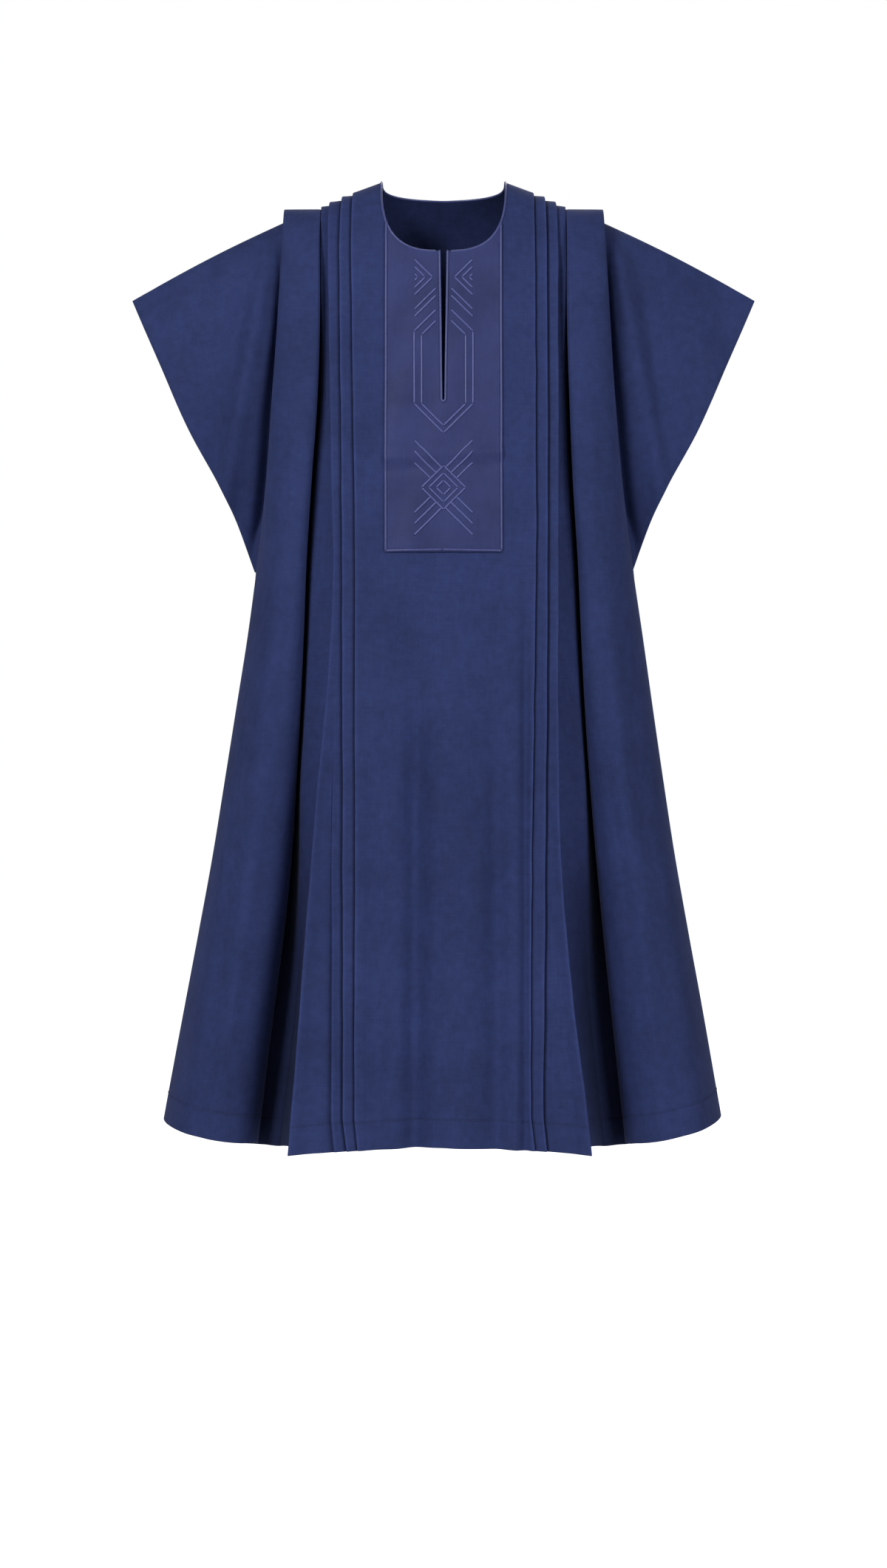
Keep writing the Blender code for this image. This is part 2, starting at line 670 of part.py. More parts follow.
def build_side(face, side):
    half = 0.5 * CLOTH_WALL
    grid, cells = side_panel(face, side)
    normals = grid_normals(grid, cells, face)
    upright_seam(normals, (0, slice(None)))
    upright_seam(normals, (slice(UNDERARM_ROW + 1, None), -4))
    name = f"{SIDE_NAMES[side]}_side_{FACE_NAMES[face]}"
    cloth_wall(name, grid, cells, normals, -half, half, NAVY)
    grid, cells = sleeve(face, side)
    normals = grid_normals(grid, cells, face)
    upright_seam(normals, (0, slice(None)))
    name = f"{SIDE_NAMES[side]}_sleeve_{FACE_NAMES[face]}"
    cloth_wall(name, grid, cells, normals, -half, half, NAVY)


def clear_scene():
    for old in list(bpy.data.objects):
        bpy.data.objects.remove(old)


clear_scene()
front_grid, front_normals = build_middle(FRONT)
back_grid, back_normals = build_middle(BACK)
build_bib(front_grid, front_normals)
build_neck_cord(front_grid, front_normals, back_grid, back_normals)
for body_side in SIDES:
    for body_face in (FRONT, BACK):
        build_side(body_face, body_side)
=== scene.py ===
"""Grand boubou robe, filled out as it is worn: the finish of every piece.

Metres, +Z up, the front faces -Y, and the origin lies on top of the shoulders.
Every piece of cloth is a thin shell round a grid. Columns run down the cloth and
rows run round it, and both follow the tables below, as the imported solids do.
"""

from collections import namedtuple

import bpy
import numpy as np
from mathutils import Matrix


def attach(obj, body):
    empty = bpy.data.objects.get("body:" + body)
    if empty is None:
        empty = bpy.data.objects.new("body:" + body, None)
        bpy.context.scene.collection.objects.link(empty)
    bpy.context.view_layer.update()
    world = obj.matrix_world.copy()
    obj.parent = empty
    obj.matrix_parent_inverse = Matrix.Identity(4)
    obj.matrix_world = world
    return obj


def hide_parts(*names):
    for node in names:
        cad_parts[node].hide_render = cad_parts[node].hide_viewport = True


bl_info = {
    "name": "Grand Boubou Robe",
    "version": (1, 0, 0),
    "blender": (4, 5, 0),
    "location": "3D Viewport > Sidebar > Robe",
    "description": "Pleated grand boubou with winged sleeves and an embroidered bib",
    "category": "Object",
}

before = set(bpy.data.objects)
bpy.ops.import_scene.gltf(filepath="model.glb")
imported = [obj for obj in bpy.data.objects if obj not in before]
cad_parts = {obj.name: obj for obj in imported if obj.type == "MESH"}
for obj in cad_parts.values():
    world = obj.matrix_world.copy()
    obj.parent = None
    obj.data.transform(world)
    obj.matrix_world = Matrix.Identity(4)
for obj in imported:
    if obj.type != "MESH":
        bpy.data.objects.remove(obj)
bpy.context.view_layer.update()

# Sizes of the cut, in metres ----------------------------------------------------
NECK_HALF_WIDTH = 0.073
NECK_DROP = {-1: 0.095, 1: 0.012}
NECK_ROUNDNESS = 3.0
NECK_EASE = 0.15
NECK_SIDE = 0.061
NECK_OUTER = 0.088

SLIT_TOP_HALF = 0.0040
SLIT_TIP_HALF = 0.0015
SLIT_TIP = -0.271
BACK_MIDDLE_HALF = 0.0015  # the back has no slit; its two halves meet here
BIB_HALF_WIDTH = 0.068
BIB_FOOT = -0.447

SEAM_GAP = 0.0003
LAP_GAP = 0.0026
STRIP_SEAM_INSET = 0.012
LAP_STEPS = 2.9
LAP_MORE_STEPS = 0.8
SHOULDER_ROUND = 0.100
SHOULDER_FOLD_TOP = -0.032
GIRTH_POWER = 2.2
UNDERARM = -0.4625
UNDERARM_CLOSE = 0.013

HEM_CENTRE = -1.1275
HEM_FLARE_DROP = 0.0105
HEM_FLARE_REACH = 0.177
HEM_HOLLOW = -1.1320
HEM_RISE = {-1: 0.0210, 1: 0.0250}
BAND_START = 0.036
STITCH_TONE = 0.70  # cloth darker than this lies in a fold and shows no stitches
HEM_TURN = 0.11  # the pleats are pressed afresh in the hem, at a slightly different slant

# Rows and columns of the fine grids -----------------------------------------------
TOP_ROWS = 56
MIDDLE_ROWS = 112
BAND_ROWS = 30
BIB_COLUMNS = 21
NECK_COLUMNS = 14
FIRST_STRIP_COLUMNS = 5
SECOND_STRIP_COLUMNS = 4
EDGE_STRIP_COLUMNS = 14
THIRD_BEFORE = 4
THIRD_AFTER = 7
SIDE_STRIP_COLUMNS = 22

FRONT = -1
BACK = 1
SIDES = (-1, 1)
SIDE_NAMES = {-1: "left", 1: "right"}
FACE_NAMES = {FRONT: "front", BACK: "back"}

# Tables ------------------------------------------------------------------------------
SHOULDER = (
    (0.000, 0.0200),
    (0.073, 0.0000),
    (0.107, -0.0125),
    (0.135, -0.0185),
    (0.146, -0.0215),
    (0.200, -0.0400),
)

BODY_COLUMNS = (
    "height", "front", "back", "wrap", "hollow_level", "roll",
    "edge_depth", "tuck", "tuck_level", "flare_lift",
)
BODY = (
    (0.000, 0.080, 0.080, 0.50, -0.0120, 0.0015, 0.0700, 0.158, 0.0045, 0.000),
    (-0.050, 0.086, 0.086, 0.48, -0.0150, 0.0020, 0.0720, 0.159, 0.0060, 0.000),
    (-0.170, 0.102, 0.098, 0.42, -0.0220, 0.0040, 0.0780, 0.162, 0.0100, 0.000),
    (-0.271, 0.112, 0.105, 0.36, -0.0285, 0.0060, 0.0700, 0.174, 0.0130, 0.000),
    (-0.360, 0.119, 0.110, 0.31, -0.0340, 0.0080, 0.0480, 0.193, 0.0120, 0.000),
    (UNDERARM, 0.126, 0.114, 0.28, -0.0390, 0.0100, 0.0095, 0.212, 0.0060, 0.000),
    (-0.540, 0.129, 0.117, 0.285, -0.0425, 0.0110, 0.0, 0.230, 0.0050, 0.003),
    (-0.625, 0.134, 0.121, 0.29, -0.0465, 0.0120, 0.0, 0.245, 0.0050, 0.006),
    (-0.710, 0.139, 0.127, 0.30, -0.0510, 0.0140, 0.0, 0.260, 0.0050, 0.009),
    (-0.800, 0.146, 0.134, 0.31, -0.0570, 0.0160, 0.0, 0.270, 0.0050, 0.012),
    (-0.890, 0.153, 0.142, 0.325, -0.0640, 0.0180, 0.0, 0.280, 0.0050, 0.015),
    (-0.980, 0.162, 0.152, 0.34, -0.0710, 0.0200, 0.0, 0.300, 0.0050, 0.017),
    (-1.060, 0.172, 0.163, 0.35, -0.0770, 0.0220, 0.0, 0.310, 0.0050, 0.019),
    (-1.140, 0.186, 0.176, 0.365, -0.0830, 0.0240, 0.0, 0.320, 0.0050, 0.021),
)

# Where each fold runs, out from the middle. The third pleat runs out as the edge of the
# flare, and third_share says how much of a new third crease there is below it.
FOLD_COLUMNS = ("height", "pleat_1", "pleat_2", "third", "third_share", "edge", "hollow", "outer")
LEFT_FOLDS = (
    (0.000, 0.1070, 0.1195, 0.1290, 0.0, 0.1345, 0.1460, 0.1890),
    (-0.050, 0.1075, 0.1210, 0.1300, 0.0, 0.1350, 0.1455, 0.1885),
    (-0.170, 0.1060, 0.1204, 0.1290, 0.0, 0.1336, 0.1440, 0.1934),
    (-0.271, 0.1045, 0.1192, 0.1280, 0.0, 0.1318, 0.1470, 0.2010),
    (-0.360, 0.1030, 0.1180, 0.1260, 0.0, 0.1297, 0.1535, 0.2085),
    (UNDERARM, 0.1022, 0.1173, 0.1235, 0.0, 0.1275, 0.1600, 0.2220),
    (-0.540, 0.1020, 0.1170, 0.1255, 0.0, 0.1300, 0.1630, 0.2325),
    (-0.625, 0.1020, 0.1166, 0.1285, 0.15, 0.1362, 0.1668, 0.2460),
    (-0.710, 0.1018, 0.1160, 0.1290, 0.45, 0.1445, 0.1718, 0.2595),
    (-0.800, 0.1018, 0.1157, 0.1283, 0.70, 0.1515, 0.1775, 0.2740),
    (-0.890, 0.1017, 0.1152, 0.1276, 0.90, 0.1583, 0.1865, 0.2905),
    (-0.980, 0.1017, 0.1148, 0.1268, 1.0, 0.1650, 0.1980, 0.3075),
    (-1.060, 0.1016, 0.1144, 0.1262, 1.0, 0.1710, 0.2080, 0.3225),
    (-1.140, 0.1015, 0.1140, 0.1255, 1.0, 0.1775, 0.2175, 0.3370),
)
RIGHT_FOLDS = (
    (0.000, 0.1070, 0.1195, 0.1270, 0.0, 0.1325, 0.1460, 0.1890),
    (-0.050, 0.1062, 0.1200, 0.1275, 0.0, 0.1333, 0.1450, 0.1890),
    (-0.170, 0.1064, 0.1202, 0.1280, 0.0, 0.1333, 0.1440, 0.1941),
    (-0.271, 0.1065, 0.1203, 0.1280, 0.0, 0.1330, 0.1468, 0.2010),
    (-0.360, 0.1067, 0.1204, 0.1280, 0.0, 0.1330, 0.1505, 0.2100),
    (UNDERARM, 0.1069, 0.1205, 0.1280, 0.0, 0.1328, 0.1570, 0.2250),
    (-0.540, 0.1055, 0.1198, 0.1270, 0.0, 0.1323, 0.1605, 0.2365),
    (-0.625, 0.1040, 0.1188, 0.1265, 0.0, 0.1322, 0.1650, 0.2485),
    (-0.710, 0.1028, 0.1180, 0.1265, 0.0, 0.1330, 0.1708, 0.2608),
    (-0.800, 0.1015, 0.1170, 0.1275, 0.0, 0.1350, 0.1785, 0.2746),
    (-0.890, 0.1005, 0.1160, 0.1300, 0.0, 0.1410, 0.1870, 0.2905),
    (-0.980, 0.1000, 0.1150, 0.1350, 0.0, 0.1506, 0.1960, 0.3070),
    (-1.060, 0.0997, 0.1142, 0.1400, 0.0, 0.1598, 0.2045, 0.3210),
    (-1.140, 0.0995, 0.1135, 0.1450, 0.0, 0.1684, 0.2130, 0.3350),
)
FOLDS = {-1: LEFT_FOLDS, 1: RIGHT_FOLDS}

SLEEVE_COLUMNS = ("share", "across", "height", "depth")
SLEEVE_EDGE = (
    (0.00, 0.3700, -0.1400, 0.000),
    (0.10, 0.3560, -0.1720, 0.012),
    (0.25, 0.3350, -0.2190, 0.025),
    (0.50, 0.3000, -0.2980, 0.033),
    (0.72, 0.2650, -0.3625, 0.026),
    (0.87, 0.2446, -0.4060, 0.014),
    (1.00, 0.2245, -0.4625, 0.0034),
)
SLEEVE_BULGE = 0.004
SLEEVE_SPREAD = 0.55
SLEEVE_STEPS = 44

# Section of a knife pleat, in pleat steps: out from the folded edge, down from the cloth above,
# and the tone of the cloth: a painted highlight on the folded edge and painted shade in the fold
PLEAT_SECTION = (
    (-1.60, 0.00, 1.00), (-0.70, 0.04, 1.08), (-0.25, 0.05, 1.40), (-0.06, -0.06, 1.50),
    (0.00, -0.22, 1.00), (-0.06, -0.36, 0.60), (-0.25, -0.46, 0.30), (-0.60, -0.54, 0.25),
    (-1.00, -0.62, 0.25), (-1.25, -0.78, 0.25), (-1.00, -0.93, 0.22), (-0.45, -1.02, 0.20),
    (0.05, -1.04, 0.20), (0.45, -1.02, 0.50), (1.20, -1.00, 0.92),
)
# Section of the turned edge of the flare, as above, with a painted highlight on its edge and painted
# shade under it
EDGE_SECTION = (
    (-1.60, 0.00, 1.00), (-0.70, 0.02, 1.05), (-0.25, 0.02, 1.20), (-0.06, -0.10, 1.25),
    (0.00, -0.28, 1.00), (-0.06, -0.48, 0.80), (-0.26, -0.62, 0.60), (-0.80, -0.74, 0.50),
    (-2.00, -0.84, 0.50), (-3.20, -0.92, 0.50), (-4.40, -1.00, 0.50),
)

# A soft fold of the cloth: it runs from start to end, each a place across and a height
Crease = namedtuple("Crease", "start end width rise")
FRONT_CREASES = (
    Crease((0.012, -0.44), (0.018, -1.40), 0.028, 0.0130),
    Crease((-0.030, -0.50), (-0.034, -1.40), 0.014, -0.0150),
    Crease((-0.074, -0.62), (-0.072, -1.40), 0.014, -0.0045),
    Crease((0.060, -0.54), (0.062, -1.40), 0.013, -0.0100),
    Crease((0.0950, -0.38), (0.0925, -1.40), 0.0060, -0.0072),
    Crease((-0.0935, -0.48), (-0.0930, -1.22), 0.0040, 0.0012),
    Crease((0.083, -0.98), (0.081, -1.24), 0.0030, 0.0012),
    Crease((-0.078, -0.10), (-0.086, -0.42), 0.010, -0.0012),
    Crease((0.082, -0.12), (0.088, -0.50), 0.009, -0.0012),
    Crease((-0.148, -0.88), (-0.156, -1.24), 0.012, -0.0025),
    Crease((0.142, -0.92), (0.150, -1.24), 0.010, -0.0020),
)
BACK_CREASES = (
    Crease((0.004, -0.30), (-0.010, -1.24), 0.034, -0.0070),
    Crease((-0.048, -0.42), (-0.066, -1.24), 0.022, 0.0060),
    Crease((0.052, -0.36), (0.062, -1.24), 0.024, 0.0065),
    Crease((0.086, -0.60), (0.092, -1.24), 0.010, -0.0025),
    Crease((-0.084, -0.52), (-0.092, -1.24), 0.011, -0.0030),
)
SIDE_CREASES = {
    (FRONT, -1): (
        Crease((-0.176, -0.16), (-0.246, -0.82), 0.012, -0.0022),
        Crease((-0.196, -0.40), (-0.262, -1.26), 0.016, 0.0045),
        Crease((-0.222, -0.56), (-0.292, -1.26), 0.014, -0.0040),
        Crease((-0.240, -0.66), (-0.318, -1.26), 0.012, 0.0030),
    ),
    (FRONT, 1): (
        Crease((0.172, -0.18), (0.232, -0.80), 0.012, -0.0024),
        Crease((0.188, -0.42), (0.252, -1.26), 0.014, 0.0045),
        Crease((0.214, -0.50), (0.284, -1.26), 0.015, -0.0038),
        Crease((0.244, -0.62), (0.314, -1.26), 0.012, 0.0034),
    ),
    (BACK, -1): (
        Crease((-0.186, -0.20), (-0.250, -1.26), 0.018, 0.0050),
        Crease((-0.214, -0.46), (-0.286, -1.26), 0.015, -0.0045),
    ),
    (BACK, 1): (
        Crease((0.182, -0.24), (0.258, -1.26), 0.017, -0.0045),
        Crease((0.212, -0.40), (0.294, -1.26), 0.016, 0.0050),
    ),
}
SLEEVE_CREASES = {
    (FRONT, -1): (
        Crease((-0.192, 0.00), (-0.266, -0.42), 0.0120, 0.0080),
        Crease((-0.216, -0.06), (-0.286, -0.40), 0.0120, -0.0050),
        Crease((-0.240, -0.05), (-0.330, -0.32), 0.0200, 0.0040),
    ),
    (FRONT, 1): (
        Crease((0.190, 0.00), (0.268, -0.42), 0.0120, 0.0085),
        Crease((0.222, -0.06), (0.282, -0.42), 0.0130, -0.0050),
        Crease((0.262, -0.06), (0.334, -0.28), 0.0200, 0.0036),
    ),
    (BACK, -1): (
        Crease((-0.206, -0.02), (-0.276, -0.44), 0.0160, 0.0070),
    ),
    (BACK, 1): (
        Crease((0.202, -0.02), (0.270, -0.46), 0.0160, 0.0070),
    ),
}

# The way down into the hollow: from its lip (0) to under the fold (1 and beyond), and its share
# of the drop
HOLLOW_WAY = (
    (0.10, 0.03), (0.22, 0.12), (0.35, 0.28), (0.50, 0.50), (0.66, 0.72), (0.86, 0.88),
    (1.10, 0.97), (1.45, 1.00), (1.75, 0.97), (1.95, 0.86), (2.00, 0.68),
)
# How far the hollow's cloth hangs below the fold's hem
HOLLOW_SAG = 0.005
# Tone of each strip near the hem, where the left one lies in shade
STRIP_TONE = {-1: 0.60, 1: 1.00}

# The motif stands on a lattice of upright and 45-degree lines. Places in it are counted in
# units, out from the middle line and down from the motif's top
MOTIF_UNIT = BIB_HALF_WIDTH / 8
MOTIF_TOP = -NECK_DROP[FRONT] - 0.010
MOTIF_EDGE = 4
MOTIF_SLIT = 1
CHEVRON_MIDDLE = 2.5
CHEVRON_TIPS = (1.5, 2.5, 3.5)
BAR_TOPS = (4, 5)
# Frames: half width, and where the upright side starts and ends
MOTIF_FRAMES = ((4, 10, 20), (3, 10.5, 20))
DIAMOND_CENTRE = 31.5
DIAMOND_SIZES = (1, 2, 3)
ARM_STARTS = (3.5, 5.0, 6.5)


# Reading the tables --------------------------------------------------------------------
def eased(rows, names, name, at):
    """A named column of a table at any places along its first column, eased between its rows."""
    places = np.array([row[0] for row in rows])
    values = np.array([row[names.index(name)] for row in rows])
    at = np.asarray(at, float)
    if places[0] > places[-1]:
        places = -places
        at = -at
    slopes = np.gradient(values, places)
    at = np.clip(at, places[0], places[-1])
    left = np.clip(np.searchsorted(places, at, side="right") - 1, 0, len(places) - 2)
    span = places[left + 1] - places[left]
    t = (at - places[left]) / span
    return (
        (1 + 2 * t) * (1 - t) ** 2 * values[left]
        + t * (1 - t) ** 2 * span * slopes[left]
        + t * t * (3 - 2 * t) * values[left + 1]
        + t * t * (t - 1) * span * slopes[left + 1]
    )


def smooth(low, high, at):
    t = np.clip((at - low) / (high - low), 0.0, 1.0)
    return t * t * (3 - 2 * t)


def body(name, height):
    return eased(BODY, BODY_COLUMNS, name, height)


def fold(side, name, height):
    return eased(FOLDS[side], FOLD_COLUMNS, name, height)


def edge_depth(height):
    """Depth of the shoulder fold's outer edge; the side seam closes just below the sleeve."""
    closed = smooth(UNDERARM - UNDERARM_CLOSE, UNDERARM, height)
    return np.maximum(body("edge_depth", height), 0.0) * closed


def shoulder_height(across):
    return np.interp(across, [row[0] for row in SHOULDER], [row[1] for row in SHOULDER])


def neck_height(face, across):
    share = np.clip(np.abs(across) / NECK_HALF_WIDTH, 0.0, 1.0)
    return -NECK_DROP[face] * (1.0 - share**NECK_ROUNDNESS) ** (1.0 / NECK_ROUNDNESS)


def neck_across(face, height):
    """The other way round: how far out the cut edge of the neck is at a height."""
    share = np.clip(-height / NECK_DROP[face], 0.0, 1.0)
    return NECK_HALF_WIDTH * (1.0 - share**NECK_ROUNDNESS) ** (1.0 / NECK_ROUNDNESS)


def girth(face, across, height):
    """Depth of the filled-out body in front of or behind its middle, before any fold."""
    share = np.clip(np.abs(across) / body("wrap", height), 0.0, 0.98)
    full = body(FACE_NAMES[face], height)
    return full * (1.0 - share**GIRTH_POWER) ** (1.0 / GIRTH_POWER)


def shoulder_turn(across, ridge, height):
    """0 on the ridge of the shoulder and 1 where the cloth hangs straight down."""
    middle = shoulder_height(np.abs(across)) - SHOULDER_ROUND
    share = np.clip((height - middle) / (ridge - middle), 0.0, 1.0)
    return np.sqrt(1.0 - share**2)


# Soft folds and small unevenness ----------------------------------------------------------
def crease_rise(creases, across, height):
    """How far soft folds lift the cloth. Each has a rounded section and fades at both ends."""
    total = np.zeros(np.broadcast(across, height).shape)
    for crease in creases:
        start = np.array(crease.start)
        run = np.array(crease.end) - start
        length = np.hypot(*run)
        along = ((across - start[0]) * run[0] + (height - start[1]) * run[1]) / length**2
        beside = ((across - start[0]) * run[1] - (height - start[1]) * run[0]) / length
        fade = smooth(0.0, 0.3, along) * smooth(1.0, 0.85, along)
        total += crease.rise * fade * np.exp(-((beside / crease.width) ** 2))
    return total


def ripple(seed, across, height, size, reach):
    """Small uneven waves: a few sines of fixed phase, longer down the cloth than across it."""
    draw = np.random.default_rng(seed)
    total = 0.0
    for _ in range(7):
        angle = draw.normal(0.0, 0.45)
        length = reach * draw.uniform(0.5, 1.8)
        phase = draw.uniform(0.0, 2 * np.pi)
        place = across * np.cos(angle) + 0.45 * height * np.sin(angle)
        total = total + np.sin(2 * np.pi * place / length + phase)
    return size * total / 7**0.5


def hem_band(above_hem):
    """The turned hem: a little thicker than the cloth, with a groove where it is sewn down."""
    settings = bpy.context.scene.robe
    band = 0.0007 * smooth(settings.hem_width + 0.0025, settings.hem_width - 0.002, above_hem)
    groove = 0.0007 * np.exp(-(((above_hem - settings.hem_width) / 0.0014) ** 2))
    return band - groove


def hem_tone(points):
    """The sewn groove of the hem takes less light than the cloth round it."""
    above_hem = points[:, 2] - points[-1, 2]
    width = bpy.context.scene.robe.hem_width
    return 1.0 - 0.12 * np.exp(-(((above_hem - width) / 0.0016) ** 2))


# Grids of the middle panels ------------------------------------------------------------------
def column_heights(top, bottom):
    """Heights down one column: close together over the shoulder and in the hem."""
    turn = 1.0 - np.cos(0.5 * np.pi * np.arange(TOP_ROWS) / TOP_ROWS)
    upper = top + (SLIT_TIP - top) * turn
    middle = np.linspace(SLIT_TIP, bottom + BAND_START, MIDDLE_ROWS, endpoint=False)
    lower = bottom + BAND_START * np.linspace(1.0, 0.0, BAND_ROWS)
    return np.concatenate([upper, middle, lower])


def front_hem(across):
    return HEM_CENTRE - HEM_FLARE_DROP * (np.abs(across) / HEM_FLARE_REACH) ** 1.3


def slit_edge(height):
    share = np.clip((height - SLIT_TIP) / (-NECK_DROP[FRONT] - SLIT_TIP), 0.0, 1.0)
    return SLIT_TIP_HALF + (SLIT_TOP_HALF - SLIT_TIP_HALF) * share


def middle_uneven(face, across, height):
    """Soft folds and ripples of the front or back panel, still over the shoulder."""
    creases = FRONT_CREASES if face == FRONT else BACK_CREASES
    calm = smooth(-0.02, -0.30, height)
    waves = ripple(11 + face, across, height, 0.0007, 0.060)
    waves = waves + smooth(-0.5, -1.1, height) * ripple(21 + face, across, height, 0.0012, 0.110)
    return crease_rise(creases, across, height) + calm * waves


def flare_lift(side, across, height):
    start = fold(side, "pleat_2", height)
    end = fold(side, "edge", height)
    share = np.clip((across - start) / (end - start), 0.0, 1.0)
    return body("flare_lift", height) * share**1.5


def middle_column(face, side, track, rise, uneven=1.0):
    """Points down one column of the front or back panel."""
    start = float(track(np.array(0.0)))
    ridge = float(shoulder_height(start) + rise(np.array(0.0)))
    top = min(ridge, float(neck_height(face, start))) if start < NECK_HALF_WIDTH else ridge
    bottom = float(front_hem(track(np.array(HEM_CENTRE))))
    height = column_heights(top, bottom)
    across = track(height)
    depth = girth(face, across, height) + rise(height)
    depth = depth + uneven * middle_uneven(face, side * across, height)
    depth = depth * shoulder_turn(across, ridge, height) + hem_band(height - bottom)
    depth = np.maximum(depth, 0.5 * SEAM_GAP)
    return np.stack([side * across, face * depth, height], axis=1)


def middle_columns(face, side):
    """Columns from the middle outwards, and the tone of the cloth at each of their points: painted
    highlight on the pleats' folded edges, painted shade in their folds and the hem's groove.
    """
    settings = bpy.context.scene.robe
    step = settings.pleat_step
    tilt = settings.pleat_tilt * step
    first = PLEAT_SECTION[0][0]
    last = PLEAT_SECTION[-1][0]
    edge_first = EDGE_SECTION[0][0]
    columns = []
    tones = []

    def flat(height):
        return 0.0 * height

    def whole(height):
        return 1.0

    def add(track, rise, tone=1.0, formed=whole):
        points = middle_column(face, side, track, rise)
        columns.append(points)
        tones.append((1.0 + (tone - 1.0) * formed(points[:, 2])) * hem_tone(points))

    def bib_across(height, share):
        if face == FRONT:
            return (1 - share) * slit_edge(height) + share * NECK_SIDE
        return (BACK_MIDDLE_HALF + (NECK_SIDE - BACK_MIDDLE_HALF) * share) + 0.0 * height

    for share in np.linspace(0.0, 1.0, BIB_COLUMNS):
        add(lambda height, share=share: bib_across(height, share), flat)
    lowest = float(neck_height(face, NECK_SIDE))
    for share in np.linspace(0.0, 1.0, NECK_COLUMNS)[1:]:
        top = lowest * (1.0 - share) ** 2
        start = float(neck_across(face, top))
        end = NECK_SIDE + (NECK_OUTER - NECK_SIDE) * share
        add(
            lambda height, top=top, start=start, end=end: end
            + (start - end) * np.exp(np.minimum(0.0, height - top) / NECK_EASE),
            flat,
        )

    def line(name):
        if name == "neck":
            return lambda height: NECK_OUTER + 0.0 * height
        return lambda height: fold(side, name, height) + pleat_wander(side, name, height)

    def third_share(height):
        return np.clip(0.75 * fold(side, "third_share", height), 0.0, 1.0)

    def climb(height, across, inner, outer):
        """Each strip climbs from its inner fold (0) to its own folded edge (1)."""
        low = line(inner)(height)
        high = line(outer)(height)
        return tilt * np.clip((across - low) / (high - low), 0.0, 1.0)

    def add_pleat(name, steps, inner, outer, placed):
        """One knife pleat, part of the way formed where it is the third."""
        for index, (out, drop, tone) in enumerate(PLEAT_SECTION):
            track = placed(index, lambda height, out=out: line(name)(height) + step * out)

            def rise(height, drop=drop, track=track):
                across = track(height)
                over = drop > -0.5
                ends = (inner, name) if over else (name, outer)
                slope = climb(height, across, *ends)
                if name == "third":
                    plain = climb(height, across, inner, outer)
                    slope = plain + (slope - plain) * third_share(height)
                    drop = drop * third_share(height)
                elif steps == 0 and over:
                    slope = 0.0
                return flare_lift(side, across, height) - (steps - drop) * step + slope

            if name == "third":
                add(track, rise, tone, lambda height: third_share(height) ** 3)
            else:
                add(track, rise, tone)

    def add_strip(inner, outer, steps, count, inner_end, outer_end, placed):
        """The open cloth between two pleats."""
        for index, share in enumerate(np.linspace(0.0, 1.0, count + 2)[1:-1]):

            def formed(height, share=share):
                low = line(inner)(height) + step * inner_end
                high = line(outer)(height) + step * outer_end
                if outer == "edge":
                    high = edge_track(height, outer_end)
                return low + (high - low) * share

            track = placed(index, formed)

            def rise(height, track=track):
                across = track(height)
                slope = climb(height, across, inner, outer) * (steps > 0)
                passed = steps
                if "third" in (inner, outer):
                    plain = climb(height, across, "pleat_2", "edge")
                    slope = plain + (slope - plain) * third_share(height)
                if inner == "third":
                    passed = steps + third_share(height)
                return flare_lift(side, across, height) - passed * step + slope

            add(track, rise)

    def edge_size(height):
        return step * (1.0 + 0.6 * smooth(-0.5, -1.1, height))

    def edge_track(height, out):
        edge = fold(side, "edge", height)
        reach = np.minimum(-edge_size(height) * out, 0.6 * (edge - fold(side, "pleat_2", height)))
        return edge - reach + pleat_wander(side, "edge", height)

    def as_drawn(index, track):
        return track

    def spread_from(first_index):
        """Columns round the third pleat lie evenly spaced wherever it is not formed."""
        count = THIRD_BEFORE + len(PLEAT_SECTION) + THIRD_AFTER

        def placed(index, track):
            share = (first_index + index + 1) / (count + 1)

            def spread(height):
                low = line("pleat_2")(height) + step * last
                high = edge_track(height, edge_first)
                plain = low + (high - low) * share
                return plain + (track(height) - plain) * third_share(height)

            return spread

        return placed

    add_strip("neck", "pleat_1", 0, FIRST_STRIP_COLUMNS, 0.0, first, as_drawn)
    add_pleat("pleat_1", 0, "neck", "pleat_2", as_drawn)
    add_strip("pleat_1", "pleat_2", 1, SECOND_STRIP_COLUMNS, last, first, as_drawn)
    add_pleat("pleat_2", 1, "pleat_1", "third" if side == -1 else "edge", as_drawn)
    if side == -1:
        add_strip("pleat_2", "third", 2, THIRD_BEFORE, last, first, spread_from(0))
        add_pleat("third", 2, "pleat_2", "edge", spread_from(THIRD_BEFORE))
        after = THIRD_BEFORE + len(PLEAT_SECTION)
        add_strip("third", "edge", 2, THIRD_AFTER, last, edge_first, spread_from(after))
    else:
        add_strip("pleat_2", "edge", 2, EDGE_STRIP_COLUMNS, last, edge_first, as_drawn)
    for out, drop, tone in EDGE_SECTION:

        def track(height, out=out):
            return edge_track(height, out)

        def rise(height, drop=drop, track=track):
            across = track(height)
            slope = climb(height, across, "pleat_2", "edge") if drop > -0.2 else tilt
            passed = 2 * step
            if side == -1:
                split = climb(height, across, "third", "edge") if drop > -0.2 else tilt
                slope = slope + (split - slope) * third_share(height)
                passed = passed + third_share(height) * step
            return flare_lift(side, across, height) - passed + slope + drop * edge_size(height)

        add(track, rise, tone)
    return columns, tones


def pleat_wander(side, name, height):
    """Pressed folds are never quite straight."""
    seed = sum(ord(letter) for letter in name) + side
    wander = ripple(seed, 0.0 * height, height, 0.00035, 0.030) * smooth(0.0, -0.1, height)
    if name == "edge":
        return wander
    in_hem = np.maximum(HEM_CENTRE + bpy.context.scene.robe.hem_width - height, 0.0)
    return wander + side * HEM_TURN * in_hem


